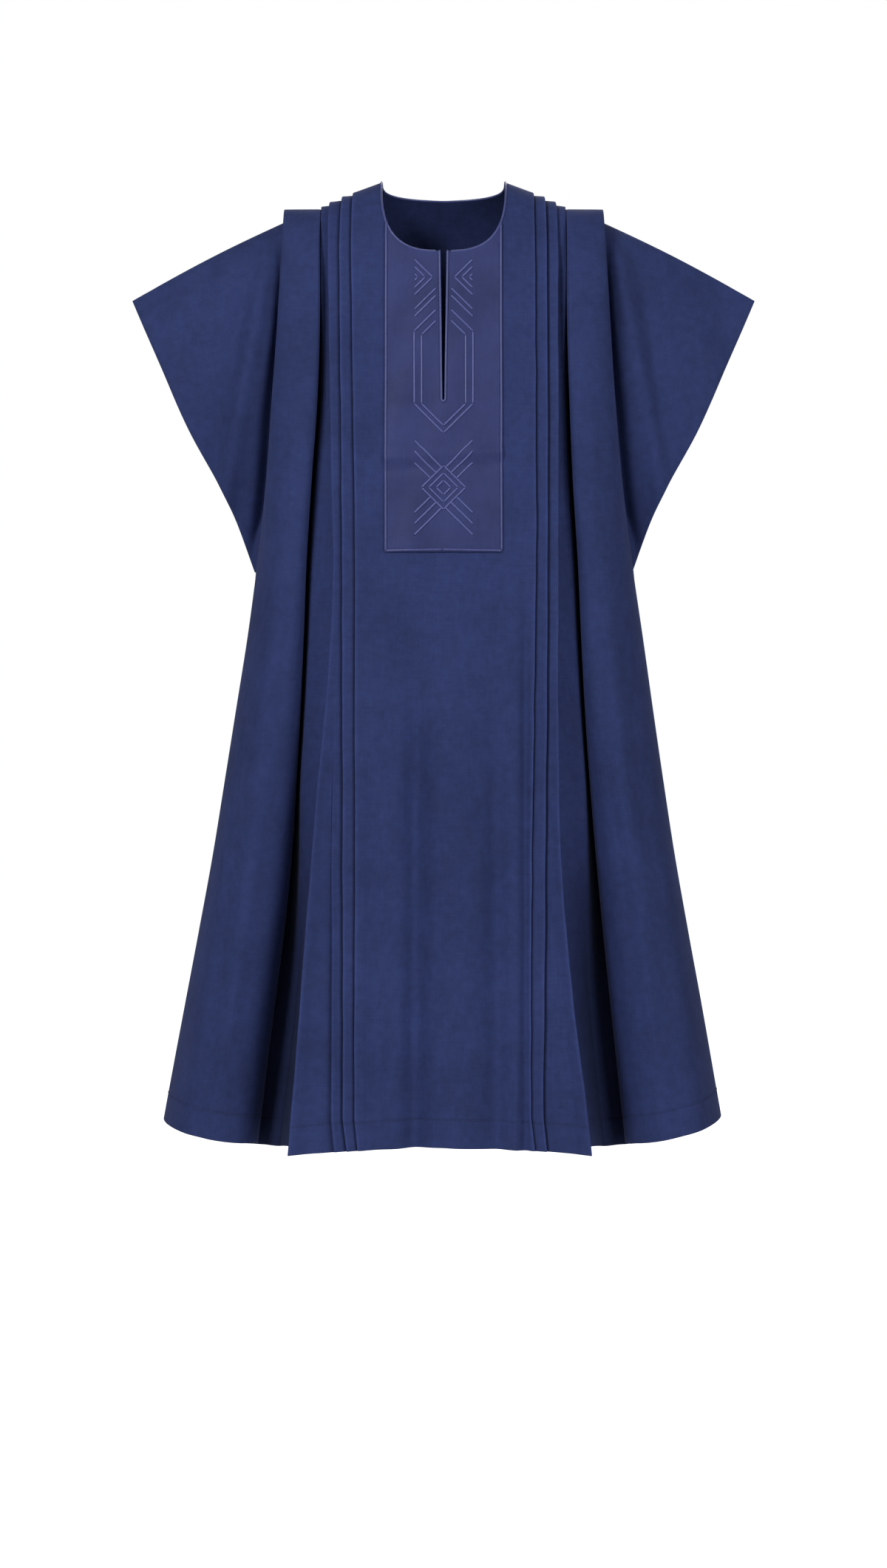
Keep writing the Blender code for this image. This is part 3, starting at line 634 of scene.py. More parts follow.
def middle_grid(face):
    left, left_tones = middle_columns(face, -1)
    right, right_tones = middle_columns(face, 1)
    grid = np.stack(left[::-1] + right, axis=1)
    tones = np.stack(left_tones[::-1] + right_tones, axis=1)
    cells = np.ones((grid.shape[0] - 1, grid.shape[1] - 1), bool)
    if face == FRONT:
        cells[:TOP_ROWS, len(left) - 1] = False
    return grid, cells, tones


# Grids of the side panels and sleeves ----------------------------------------------------------
def side_hem(side, across):
    start = fold(side, "hollow", HEM_HOLLOW)
    end = fold(side, "outer", HEM_HOLLOW)
    share = np.clip((across - start) / (end - start), 0.0, 1.0)
    return HEM_HOLLOW + HEM_RISE[side] * share**1.3


def roll(height):
    """How wide the fold's inner edge rolls over; it grows softer down the cloth."""
    return body("roll", height) * (1.0 + 1.3 * smooth(-0.30, -0.85, height))


def fold_inner(side, height):
    return fold(side, "hollow", height) + roll(height)


def face_depth(face, side, across, height):
    """Depth of the shoulder fold's face: level at its inner roll, turning away to its edge."""
    inner = fold_inner(side, height)
    outer = fold(side, "outer", height)
    edge = edge_depth(height)
    crest = girth(face, inner, height)
    share = np.clip((across - inner) / (outer - inner), 0.0, 1.0)
    return edge + (crest - edge) * np.sqrt(1.0 - share**2)


def side_uneven(face, side, across, height):
    calm = smooth(-0.03, -0.25, height)
    waves = ripple(31 + 2 * face + side, across, height, 0.0009, 0.085)
    return crease_rise(SIDE_CREASES[face, side], side * across, height) + calm * waves


def side_points(face, side, track, depth_of, top, uneven, sag=0.0):
    """Points down one column of a side panel, or of a sleeve's lap."""
    bottom = float(side_hem(side, track(np.array(HEM_HOLLOW)))) - sag
    height = column_heights(top, bottom)
    across = track(height)
    depth = depth_of(height)
    if uneven:
        depth = depth + uneven * side_uneven(face, side, across, height)
    depth = depth * shoulder_turn(across, top, height)
    depth = depth + hem_band(height - bottom) * smooth(0.0, 0.006, depth)
    depth = np.maximum(depth, 0.5 * SEAM_GAP)
    return np.stack([side * across, face * depth, height], axis=1)


def undercut(height):
    """How far the hollow reaches outwards under the fold."""
    return 0.003 + 0.013 * smooth(-0.15, -0.7, height)


def mouth(height):
    """Width of the open mouth of the hollow beside the fold."""
    return 0.0012 + 0.0050 * smooth(-0.12, -0.27, height) + 0.0200 * smooth(-0.68, -1.00, height)


def hollow_drop(height):
    """How far the cloth falls away inside the mouth of the hollow."""
    return 0.052 * smooth(-0.10, -0.28, height) - 0.030 * smooth(-0.72, -1.0, height)


def lip_share(height):
    """How much of the hollow's depth is reached at its lip."""
    return 0.62 + 0.38 * smooth(-0.70, -1.00, height)


def lap_close(height):
    """How far the seam allowance rises to touch the pleats above it."""
    return 0.0042 + 0.0008 * smooth(-0.05, -0.15, height) - 0.0030 * smooth(-0.6, -1.1, height)


def side_columns(face, side):
    """Columns of a side panel: lap under the pleats, strip, hollow, roll, face and tuck.

    The tones hold one value for each point: painted shade in the strip, the hollow, the roll and the
    tuck, and a painted highlight along the strip's seam.
    """
    settings = bpy.context.scene.robe
    step = settings.pleat_step
    columns = []
    tones = []

    def seam(height):
        return fold(side, "edge", height) - STRIP_SEAM_INSET

    def lip(height):
        return fold(side, "hollow", height) - mouth(height)

    def strip_across(height, share):
        return seam(height) + (lip(height) - seam(height)) * share

    def strip_level(height, share):
        steps = LAP_STEPS + LAP_MORE_STEPS * smooth(-0.04, -0.15, height)
        lap = flare_lift(side, seam(height), height) - steps * step - LAP_GAP
        lap = lap + lap_close(height) * smooth(0.17, 0.0, share)
        return lap + (lip_share(height) * body("hollow_level", height) - lap) * share**0.8

    def strip_depth(height, share):
        return girth(face, strip_across(height, share), height) + strip_level(height, share)

    def hollow_across(height, way):
        inside = lip(height) + mouth(height) * min(way, 1.0)
        return inside + undercut(height) * max(way - 1.0, 0.0)

    def hollow_depth(height, share):
        fallen = (1.0 - lip_share(height)) * -body("hollow_level", height) + hollow_drop(height)
        return strip_depth(height, 1.0) - fallen * share

    def add(across, depth, top, uneven=0.0, tone=1.0, low_tone=1.0, sag=0.0):
        points = side_points(face, side, across, depth, top, uneven, sag)
        low = smooth(-0.70, -1.00, points[:, 2])
        columns.append(points)
        tones.append((tone + (low_tone - tone) * low) * hem_tone(points))

    # Painted light on the strip: lighter by its seam, darker towards the hollow, and in painted
    # shade near the hem
    for share in np.linspace(0.0, 1.0, SIDE_STRIP_COLUMNS):
        top = float(shoulder_height(strip_across(0.0, share)) + strip_level(0.0, share))
        add(
            lambda height, share=share: strip_across(height, share),
            lambda height, share=share: strip_depth(height, share),
            top,
            tone=1.15 - 0.20 * share,
            low_tone=STRIP_TONE[side] - (STRIP_TONE[side] - 0.35) * share,
            sag=HOLLOW_SAG * share**2,
        )
    # Painted shade in the hollow, darkest where it is deepest
    for way, share in HOLLOW_WAY:
        add(
            lambda height, way=way: hollow_across(height, way),
            lambda height, share=share: hollow_depth(height, share),
            SHOULDER_FOLD_TOP - 0.0030,
            tone=0.8 - 0.55 * min(share * 2.0, 1.0),
            low_tone=0.45,
            sag=HOLLOW_SAG,
        )
    # Painted shade on the roll where it turns away into the hollow
    for angle in np.radians((-60, -35, -15, 3, 14, 25, 36, 47, 58, 69, 80)):

        def across(height, angle=angle):
            below = undercut(height) * np.maximum(-np.sin(angle), 0.0)
            return fold(side, "hollow", height) + roll(height) * (1 - np.cos(angle)) + below

        def depth(height, angle=angle):
            crest = face_depth(face, side, fold_inner(side, height), height)
            bottom = hollow_depth(height, 0.68)
            middle = np.maximum(crest - 1.1 * roll(height), bottom)
            if angle < 0:
                return middle + (bottom - middle) * -np.sin(angle)
            return middle + (crest - middle) * np.sin(angle)

        shown = smooth(-0.6, 0.5, np.sin(angle))
        tone = 0.45 + 0.55 * shown
        add(across, depth, SHOULDER_FOLD_TOP - 0.0003, 0.0, tone, tone, HOLLOW_SAG * (1.0 - shown))
    for angle in np.radians(np.linspace(0.0, 90.0, 40)):

        def across(height, angle=angle):
            inner = fold_inner(side, height)
            return inner + (fold(side, "outer", height) - inner) * np.sin(angle)

        def depth(height, angle=angle):
            return face_depth(face, side, across(height, angle), height)

        steady = float(np.cos(angle)) ** 0.7
        add(across, depth, SHOULDER_FOLD_TOP, steady)
    tuck = len(columns)
    # Painted shade on the cloth turned back under the fold
    for share in np.linspace(1.0, 0.0, 9):
        points = tuck_points(face, side, share, 0.0)
        columns.append(points)
        tones.append(np.full(len(points), 0.8))
    grid = np.stack(columns, axis=1)
    cells = np.ones((grid.shape[0] - 1, grid.shape[1] - 1), bool)
    heights = grid[:, tuck, 2]
    closed = int(np.searchsorted(-heights, -(UNDERARM - UNDERARM_CLOSE)))
    cells[closed:, tuck - 1 :] = False
    return grid, cells, np.stack(tones, axis=1)


def tuck_points(face, side, share, below):
    """The cloth turned back under the fold: share 1 at the fold's edge, 0 at the sleeve's seam."""
    def across(height):
        inner = body("tuck", height)
        return inner + (fold(side, "outer", height) - inner) * share

    def depth(height):
        edge = edge_depth(height) - 0.0035
        inner = face_depth(face, side, body("tuck", height), height) - body("tuck_level", height)
        inner = np.minimum(inner, edge + 0.012)
        return np.maximum(edge * share + inner * (1 - share) - below, 0.5 * SEAM_GAP)

    return side_points(face, side, across, depth, SHOULDER_FOLD_TOP - 0.0038 - below, 0.0)


def fold_valley(side, across, height):
    """How far the sleeve falls back close beside the fold's outer edge."""
    beyond = np.maximum(across - fold(side, "outer", height), 0.0)
    width = 0.0035 + 0.0065 * smooth(-0.12, -0.32, height)
    return 0.018 * smooth(-0.045, -0.16, height) * np.exp(-((beyond / width) ** 2))


def sleeve_grid(face, side):
    """The sleeve: its first columns lie on the turned-back cloth, the rest spread to the edge."""
    laps = [tuck_points(face, side, share, LAP_GAP) for share in (0.0, 0.12, 0.24, 0.35)]
    last = int(np.searchsorted(-laps[-1][:, 2], -UNDERARM)) + 1
    laps = [lap[:last] for lap in laps]
    start = laps[-1]
    shares = (start[0, 2] - start[:, 2]) / (start[0, 2] - start[-1, 2])
    edge_across = eased(SLEEVE_EDGE, SLEEVE_COLUMNS, "across", shares)
    edge_height = eased(SLEEVE_EDGE, SLEEVE_COLUMNS, "height", shares)
    edge_deep = eased(SLEEVE_EDGE, SLEEVE_COLUMNS, "depth", shares)
    columns = list(laps)
    for s in np.linspace(0.0, 1.0, SLEEVE_STEPS + 1)[1:]:
        across = (1 - s) * np.abs(start[:, 0]) + s * edge_across
        bulge = SLEEVE_BULGE * np.sin(np.pi * s) * (1 - shares) ** 2
        height = (1 - s) * start[:, 2] + s * edge_height + bulge
        near = np.abs(start[:, 1])
        deep = near + (edge_deep - near) * s**SLEEVE_SPREAD
        ease = smooth(0.0, 0.10, shares) * smooth(0.0, 0.05, s) * smooth(1.02, 0.90, shares)
        folds = crease_rise(SLEEVE_CREASES[face, side], side * across, height)
        waves = ripple(41 + 2 * face + side, across, height, 0.0010, 0.090)
        seam_line = 0.0006 * np.exp(-(((start[0, 2] - start[:, 2] - 0.0060) / 0.0014) ** 2))
        valley = np.minimum(fold_valley(side, across, height), 0.6 * deep)
        deep = deep + ease * (folds + waves - valley) - seam_line
        deep = np.maximum(deep, 0.5 * SEAM_GAP)
        columns.append(np.stack([side * across, face * deep, height], axis=1))
    grid = np.stack(columns, axis=1)
    return grid, np.ones((grid.shape[0] - 1, grid.shape[1] - 1), bool)


# Shells --------------------------------------------------------------------------------------
def unit(vectors):
    return vectors / np.maximum(np.linalg.norm(vectors, axis=-1, keepdims=True), 1e-12)


def grid_normals(grid, cells, face):
    """Unit normals that point away from the body, averaged over the cells that meet at a point."""
    across = grid[:-1, 1:] - grid[:-1, :-1] + grid[1:, 1:] - grid[1:, :-1]
    down = grid[1:, :-1] - grid[:-1, :-1] + grid[1:, 1:] - grid[:-1, 1:]
    each = unit(np.cross(across, down)) * cells[..., None]
    normals = np.zeros_like(grid)
    for row in (0, 1):
        for column in (0, 1):
            rows = slice(row, grid.shape[0] - 1 + row)
            normals[rows, column : grid.shape[1] - 1 + column] += each
    normals = unit(normals)
    return normals if normals[..., 1].sum() * face > 0 else -normals


def weave_places(grid, straight):
    """Where each point lies in the flat cloth: metres along the weft and the warp.

    On a straight-grained piece every column is one warp thread.
    """
    along_row = np.linalg.norm(np.diff(grid, axis=1), axis=2)
    down_column = np.linalg.norm(np.diff(grid, axis=0), axis=2)
    weft = np.zeros(grid.shape[:2])
    weft[:, 1:] = np.cumsum(along_row, axis=1)
    weft -= weft[:, grid.shape[1] // 2][:, None]
    level = min(TOP_ROWS, grid.shape[0] - 1)
    if straight:
        weft[:] = weft[level]
    warp = np.zeros(grid.shape[:2])
    warp[1:] = np.cumsum(down_column, axis=0)
    warp -= warp[level]
    return np.stack([weft, warp], axis=2)


def new_mesh_object(name, points, faces, places, material, tone=None):
    """A smooth-shaded mesh, with each point's place in the flat cloth and the cloth's painted light
    and shade there.
    """
    mesh = bpy.data.meshes.new(name)
    mesh.from_pydata(points, [], faces)
    layer = mesh.uv_layers.new(name="weave")
    corners = np.empty(len(mesh.loops), np.int32)
    mesh.loops.foreach_get("vertex_index", corners)
    layer.uv.foreach_set("vector", places[corners].astype(np.float32).ravel())
    if tone is not None:
        layer = mesh.uv_layers.new(name="tone")
        pairs = np.stack([tone[corners], tone[corners]], axis=1)
        layer.uv.foreach_set("vector", pairs.astype(np.float32).ravel())
    mesh.polygons.foreach_set("use_smooth", np.ones(len(mesh.polygons), bool))
    mesh.materials.append(material)
    mesh.update()
    made = bpy.data.objects.new(name, mesh)
    bpy.context.scene.collection.objects.link(made)
    return made


def shell(name, grid, cells, face, material, thickness, tones=None, straight=False):
    """A thin closed shell round a grid, with a rounded rim along every open edge."""
    normals = grid_normals(grid, cells, face)
    used = np.zeros(grid.shape[:2], bool)
    for row in (0, 1):
        for column in (0, 1):
            rows = slice(row, grid.shape[0] - 1 + row)
            used[rows, column : grid.shape[1] - 1 + column] |= cells
    number = np.full(used.shape, -1)
    number[used] = np.arange(used.sum())
    count = int(used.sum())
    rows, columns = np.nonzero(cells)
    corner = (
        number[rows, columns],
        number[rows, columns + 1],
        number[rows + 1, columns + 1],
        number[rows + 1, columns],
    )
    quads = np.stack(corner, axis=1)
    places = grid[used]
    outward = normals[used]
    origin = places[quads[:, 0]]
    turned = np.cross(places[quads[:, 1]] - origin, places[quads[:, 3]] - origin)
    if np.sum(turned * outward[quads[:, 0]]) < 0:
        quads = quads[:, ::-1]
    starts = quads.ravel()
    ends = np.roll(quads, -1, axis=1).ravel()
    centres = np.repeat(places[quads].mean(axis=1), 4, axis=0)
    key = np.minimum(starts, ends).astype(np.int64) * count + np.maximum(starts, ends)
    _, where, times = np.unique(key, return_index=True, return_counts=True)
    rim = where[times == 1]
    a = starts[rim]
    b = ends[rim]
    away = unit(0.5 * (places[a] + places[b]) - centres[rim])
    push = np.zeros_like(places)
    np.add.at(push, a, away)
    np.add.at(push, b, away)
    on_rim = np.unique(np.concatenate([a, b]))
    push = push - np.sum(push * outward, axis=1, keepdims=True) * outward
    push = unit(push)
    rim_number = np.full(count, -1)
    rim_number[on_rim] = 2 * count + np.arange(len(on_rim))
    half = 0.5 * thickness
    points = np.concatenate([
        places + half * outward,
        places - half * outward,
        places[on_rim] + half * push[on_rim],
    ])
    faces = np.concatenate([
        quads,
        quads[:, ::-1] + count,
        np.stack([b, a, rim_number[a], rim_number[b]], axis=1),
        np.stack([rim_number[b], rim_number[a], a + count, b + count], axis=1),
    ])
    weave = weave_places(grid, straight)[used]
    weave = np.concatenate([weave, weave, weave[on_rim]])
    if tones is None:
        tones = np.ones(grid.shape[1])
    tone = np.broadcast_to(tones, grid.shape[:2])[used]
    tone = np.concatenate([tone, tone, tone[on_rim]])
    return new_mesh_object(name, points, faces, weave, material, tone)


def tube(name, paths, outs, width, height, sides, material):
    """Round or flattened cords along paths, as one mesh. outs are the ways up along each path."""
    points = []
    faces = []
    places = []
    count = 0
    angles = 2 * np.pi * np.arange(sides) / sides
    for path, out in zip(paths, outs):
        along = unit(np.gradient(path, axis=0))
        beside = unit(np.cross(along, out))
        up = np.cross(beside, along)
        length = np.concatenate([[0.0], np.cumsum(np.linalg.norm(np.diff(path, axis=0), axis=1))])
        taper = np.sqrt(np.clip(np.minimum(length, length[-1] - length) / (0.5 * width), 0.04, 1.0))
        ring = (
            np.cos(angles)[None, :, None] * beside[:, None] * (0.5 * width * taper)[:, None, None]
            + np.sin(angles)[None, :, None] * up[:, None] * (0.5 * height * taper)[:, None, None]
        )
        rings = path[:, None] + ring
        points.append(rings.reshape(-1, 3))
        around = np.tile(angles / (2 * np.pi) * width * 3.0, (len(path), 1))
        down = np.repeat(length[:, None], sides, axis=1)
        places.append(np.stack([around, down], axis=2).reshape(-1, 2))
        ring_start = count + sides * np.arange(len(path) - 1)[:, None]
        index = np.arange(sides)[None, :]
        following = (index + 1) % sides
        quads = np.stack(
            [ring_start + index, ring_start + following, ring_start + sides + following,
             ring_start + sides + index],
            axis=2,
        )
        faces.extend(quads.reshape(-1, 4).tolist())
        faces.append(list(range(count, count + sides))[::-1])
        last = count + sides * (len(path) - 1)
        faces.append(list(range(last, last + sides)))
        count += sides * len(path)
    return new_mesh_object(name, np.concatenate(points), faces, np.concatenate(places), material)


def resampled(points, spacing):
    """The same path with evenly spaced points."""
    points = np.asarray(points, float)
    steps = np.linalg.norm(np.diff(points, axis=0), axis=1)
    length = np.concatenate([[0.0], np.cumsum(steps)])
    count = max(3, int(round(length[-1] / spacing)) + 1)
    at = np.linspace(0.0, length[-1], count)
    columns = [np.interp(at, length, points[:, axis]) for axis in range(points.shape[1])]
    return np.stack(columns, axis=1)


# The bib's place on the front panel --------------------------------------------------------------
def bib_crease(across, height):
    """The bib buckles a little across its lower half, most at its sides."""
    side = 0.45 + 0.55 * smooth(0.010, 0.045, np.abs(across))
    ridge = 0.0024 * side * np.exp(-(((height + 0.334 - 0.06 * across) / 0.0065) ** 2))
    trough = 0.0010 * side * np.exp(-(((height + 0.349 - 0.06 * across) / 0.0060) ** 2))
    puff = 0.0010 * smooth(-0.30, -0.40, height) * (1 - (across / BIB_HALF_WIDTH) ** 2)
    return ridge - trough + puff


def front_points(across, height, lift=0.0, bib=False):
    """Points on the plain middle of the front panel, a distance out from it."""
    ridge = shoulder_height(np.abs(across))

    def surface(x, z):
        depth = girth(FRONT, x, z) + middle_uneven(FRONT, x, z)
        if bib:
            depth = depth + bib_crease(x, z)
        return depth * shoulder_turn(x, ridge, z)

    step = 0.0005
    depth = surface(across, height)
    slope_x = (surface(across + step, height) - surface(across - step, height)) / (2 * step)
    slope_z = (surface(across, height + step) - surface(across, height - step)) / (2 * step)
    normals = unit(np.stack([-slope_x, -np.ones_like(depth), -slope_z], axis=-1))
    return np.stack([across, -depth, height], axis=-1) + lift * normals, normals


# Materials -----------------------------------------------------------------------------------
def new_node(tree, kind, settings=None, **values):
    """A shader node with some settings, and values for its inputs by name."""
    made = tree.nodes.new(kind)
    for key, value in (settings or {}).items():
        setattr(made, key, value)
    for key, value in values.items():
        made.inputs[key.replace("_", " ")].default_value = value
    return made


def new_material(name):
    material = bpy.data.materials.new(name)
    material.use_nodes = True
    return material, material.node_tree, material.node_tree.nodes["Principled BSDF"]


def stretched(tree, source, scale):
    """Coordinates scaled apart along and across."""
    mapping = new_node(tree, "ShaderNodeMapping")
    mapping.inputs["Scale"].default_value = scale
    tree.links.new(source, mapping.inputs["Vector"])
    return mapping.outputs["Vector"]


def noise(tree, source, scale, detail, roughness=0.5):
    made = new_node(tree, "ShaderNodeTexNoise", Scale=scale, Detail=detail, Roughness=roughness)
    tree.links.new(source, made.inputs["Vector"])
    return made.outputs["Fac"]


def bands(tree, source, direction, scale, distortion=0.0):
    made = new_node(
        tree, "ShaderNodeTexWave", {"wave_type": "BANDS", "bands_direction": direction},
        Scale=scale, Distortion=distortion, Detail=1.0,
    )
    tree.links.new(source, made.inputs["Vector"])
    return made.outputs["Fac"]


def combine(tree, operation, first, second):
    made = new_node(tree, "ShaderNodeMath", {"operation": operation})
    for place, value in enumerate((first, second)):
        if isinstance(value, float):
            made.inputs[place].default_value = value
        else:
            tree.links.new(value, made.inputs[place])
    return made.outputs[0]


def ranged(tree, source, low, high, from_low=0.0, from_high=1.0):
    made = new_node(tree, "ShaderNodeMapRange")
    made.inputs["From Min"].default_value = from_low
    made.inputs["From Max"].default_value = from_high
    made.inputs["To Min"].default_value = low
    made.inputs["To Max"].default_value = high
    tree.links.new(source, made.inputs["Value"])
    return made.outputs["Result"]


def shaded(tree, colour, amount):
    """The colour made darker and lighter by a number around 1."""
    made = new_node(tree, "ShaderNodeVectorMath", {"operation": "SCALE"})
    made.inputs[0].default_value = colour[:3]
    tree.links.new(amount, made.inputs["Scale"])
    return made.outputs["Vector"]


def bump(tree, height, distance, strength, under=None):
    made = new_node(tree, "ShaderNodeBump", Strength=strength, Distance=distance)
    tree.links.new(height, made.inputs["Height"])
    if under is not None:
        tree.links.new(under, made.inputs["Normal"])
    return made.outputs["Normal"]


def woven_cloth():
    """Plain-woven cotton-blend cloth: fine threads, slubs, soft mottling and a low sheen."""
    found = bpy.data.materials.get("woven_cloth")
    if found:
        return found
    settings = bpy.context.scene.robe
    material, tree, shader = new_material("woven_cloth")
    flat = new_node(tree, "ShaderNodeUVMap", {"uv_map": "weave"}).outputs["UV"]
    solid = new_node(tree, "ShaderNodeTexCoord").outputs["Object"]
    warp = bands(tree, flat, "X", settings.weave_scale, 0.6)
    weft = bands(tree, flat, "Y", settings.weave_scale, 0.6)
    threads = combine(tree, "MULTIPLY", warp, weft)
    slubs_down = noise(tree, stretched(tree, flat, (900.0, 22.0, 1.0)), 1.0, 3.0)
    slubs_across = noise(tree, stretched(tree, flat, (22.0, 900.0, 1.0)), 1.0, 3.0)
    slubs = combine(tree, "ADD", slubs_down, slubs_across)
    clouds = noise(tree, solid, 9.0, 5.0, 0.6)
    patches = noise(tree, stretched(tree, flat, (60.0, 26.0, 1.0)), 1.0, 4.0, 0.6)
    mottle = noise(tree, solid, 110.0, 6.0, 0.65)
    tone = ranged(tree, clouds, 0.86, 1.14, 0.3, 0.7)
    tone = combine(tree, "MULTIPLY", tone, ranged(tree, patches, 0.93, 1.07, 0.3, 0.7))
    tone = combine(tree, "MULTIPLY", tone, ranged(tree, mottle, 0.88, 1.12, 0.3, 0.7))
    tone = combine(tree, "MULTIPLY", tone, ranged(tree, slubs, 0.93, 1.07, 0.7, 1.3))
    tone = combine(tree, "MULTIPLY", tone, ranged(tree, threads, 0.95, 1.03))
    # The tone layer paints highlight on folded pleat edges and shade in pleat folds, hollows, the
    # tuck and the hem's groove
    painted_light_uv = new_node(tree, "ShaderNodeUVMap", {"uv_map": "tone"}).outputs["UV"]
    split = new_node(tree, "ShaderNodeSeparateXYZ")
    tree.links.new(painted_light_uv, split.inputs["Vector"])
    tone = combine(tree, "MULTIPLY", tone, split.outputs["X"])
    tree.links.new(shaded(tree, settings.cloth_colour, tone), shader.inputs["Base Color"])
    tree.links.new(ranged(tree, patches, 0.70, 0.86, 0.3, 0.7), shader.inputs["Roughness"])
    shader.inputs["Specular IOR Level"].default_value = 0.15
    shader.inputs["Sheen Weight"].default_value = 0.12
    shader.inputs["Sheen Roughness"].default_value = 0.45
    shader.inputs["Sheen Tint"].default_value = (0.45, 0.50, 0.80, 1.0)
    crumple = noise(tree, stretched(tree, solid, (1.0, 1.0, 0.6)), 55.0, 4.0, 0.55)
    normal = bump(tree, crumple, 0.0012, 0.22)
    normal = bump(tree, slubs, 0.0002, 0.35, normal)
    normal = bump(tree, threads, 0.00025, 0.12, normal)
    tree.links.new(normal, shader.inputs["Normal"])
    return material


def bib_satin():
    """Satin-faced cloth of the bib: smoother and a little more violet, with a fine twill line."""
    settings = bpy.context.scene.robe
    material, tree, shader = new_material("bib_satin")
    flat = new_node(tree, "ShaderNodeUVMap", {"uv_map": "weave"}).outputs["UV"]
    solid = new_node(tree, "ShaderNodeTexCoord").outputs["Object"]
    twill = bands(tree, flat, "DIAGONAL", 0.8 * settings.weave_scale, 0.4)
    slubs = noise(tree, stretched(tree, flat, (700.0, 40.0, 1.0)), 1.0, 3.0)
    clouds = noise(tree, solid, 15.0, 5.0, 0.62)
    tone = ranged(tree, clouds, 0.80, 1.24, 0.3, 0.7)
    tone = combine(tree, "MULTIPLY", tone, ranged(tree, slubs, 0.94, 1.06, 0.3, 0.7))
    tone = combine(tree, "MULTIPLY", tone, ranged(tree, twill, 0.94, 1.05))
    tree.links.new(shaded(tree, settings.bib_colour, tone), shader.inputs["Base Color"])
    tree.links.new(ranged(tree, clouds, 0.48, 0.62, 0.3, 0.7), shader.inputs["Roughness"])
    shader.inputs["Specular IOR Level"].default_value = 0.25
    shader.inputs["Sheen Weight"].default_value = 0.04
    shader.inputs["Sheen Tint"].default_value = (0.50, 0.50, 0.85, 1.0)
    crumple = noise(tree, solid, 70.0, 4.0, 0.6)
    normal = bump(tree, crumple, 0.0012, 0.25)
    normal = bump(tree, twill, 0.0002, 0.30, normal)
    tree.links.new(normal, shader.inputs["Normal"])
    return material


def satin_thread(name, colour, scale, roughness):
    """Shiny thread wound or laid across a cord, seen as fine slanting lines."""
    found = bpy.data.materials.get(name)
    if found:
        return found
    material, tree, shader = new_material(name)
    flat = new_node(tree, "ShaderNodeUVMap", {"uv_map": "weave"}).outputs["UV"]
    threads = bands(tree, stretched(tree, flat, (0.45, 1.0, 1.0)), "DIAGONAL", scale, 0.3)
    uneven = noise(tree, stretched(tree, flat, (90.0, 260.0, 1.0)), 1.0, 3.0)
    tone = ranged(tree, threads, 0.88, 1.08)
    tone = combine(tree, "MULTIPLY", tone, ranged(tree, uneven, 0.88, 1.12, 0.3, 0.7))
    tree.links.new(shaded(tree, colour, tone), shader.inputs["Base Color"])
    gloss = ranged(tree, uneven, roughness - 0.06, roughness + 0.08, 0.3, 0.7)
    tree.links.new(gloss, shader.inputs["Roughness"])
    shader.inputs["Specular IOR Level"].default_value = 0.5
    shader.inputs["Sheen Weight"].default_value = 0.2
    shader.inputs["Sheen Tint"].default_value = (0.55, 0.55, 0.90, 1.0)
    tree.links.new(bump(tree, threads, 0.0003, 0.35), shader.inputs["Normal"])
    return material


def paper_white():
    """The studio's pale floor."""
    material, tree, shader = new_material("paper_white")
    solid = new_node(tree, "ShaderNodeTexCoord").outputs["Object"]
    grain = noise(tree, solid, 3.0, 2.0)
    colour = shaded(tree, (0.86, 0.86, 0.86), ranged(tree, grain, 0.995, 1.005))
    tree.links.new(colour, shader.inputs["Base Color"])
    shader.inputs["Roughness"].default_value = 0.9
    shader.inputs["Specular IOR Level"].default_value = 0.0
    shader.inputs["Emission Color"].default_value = (1.0, 1.0, 1.0, 1.0)
    path = new_node(tree, "ShaderNodeLightPath")
    tree.links.new(path.outputs["Is Camera Ray"], shader.inputs["Emission Strength"])
    return material


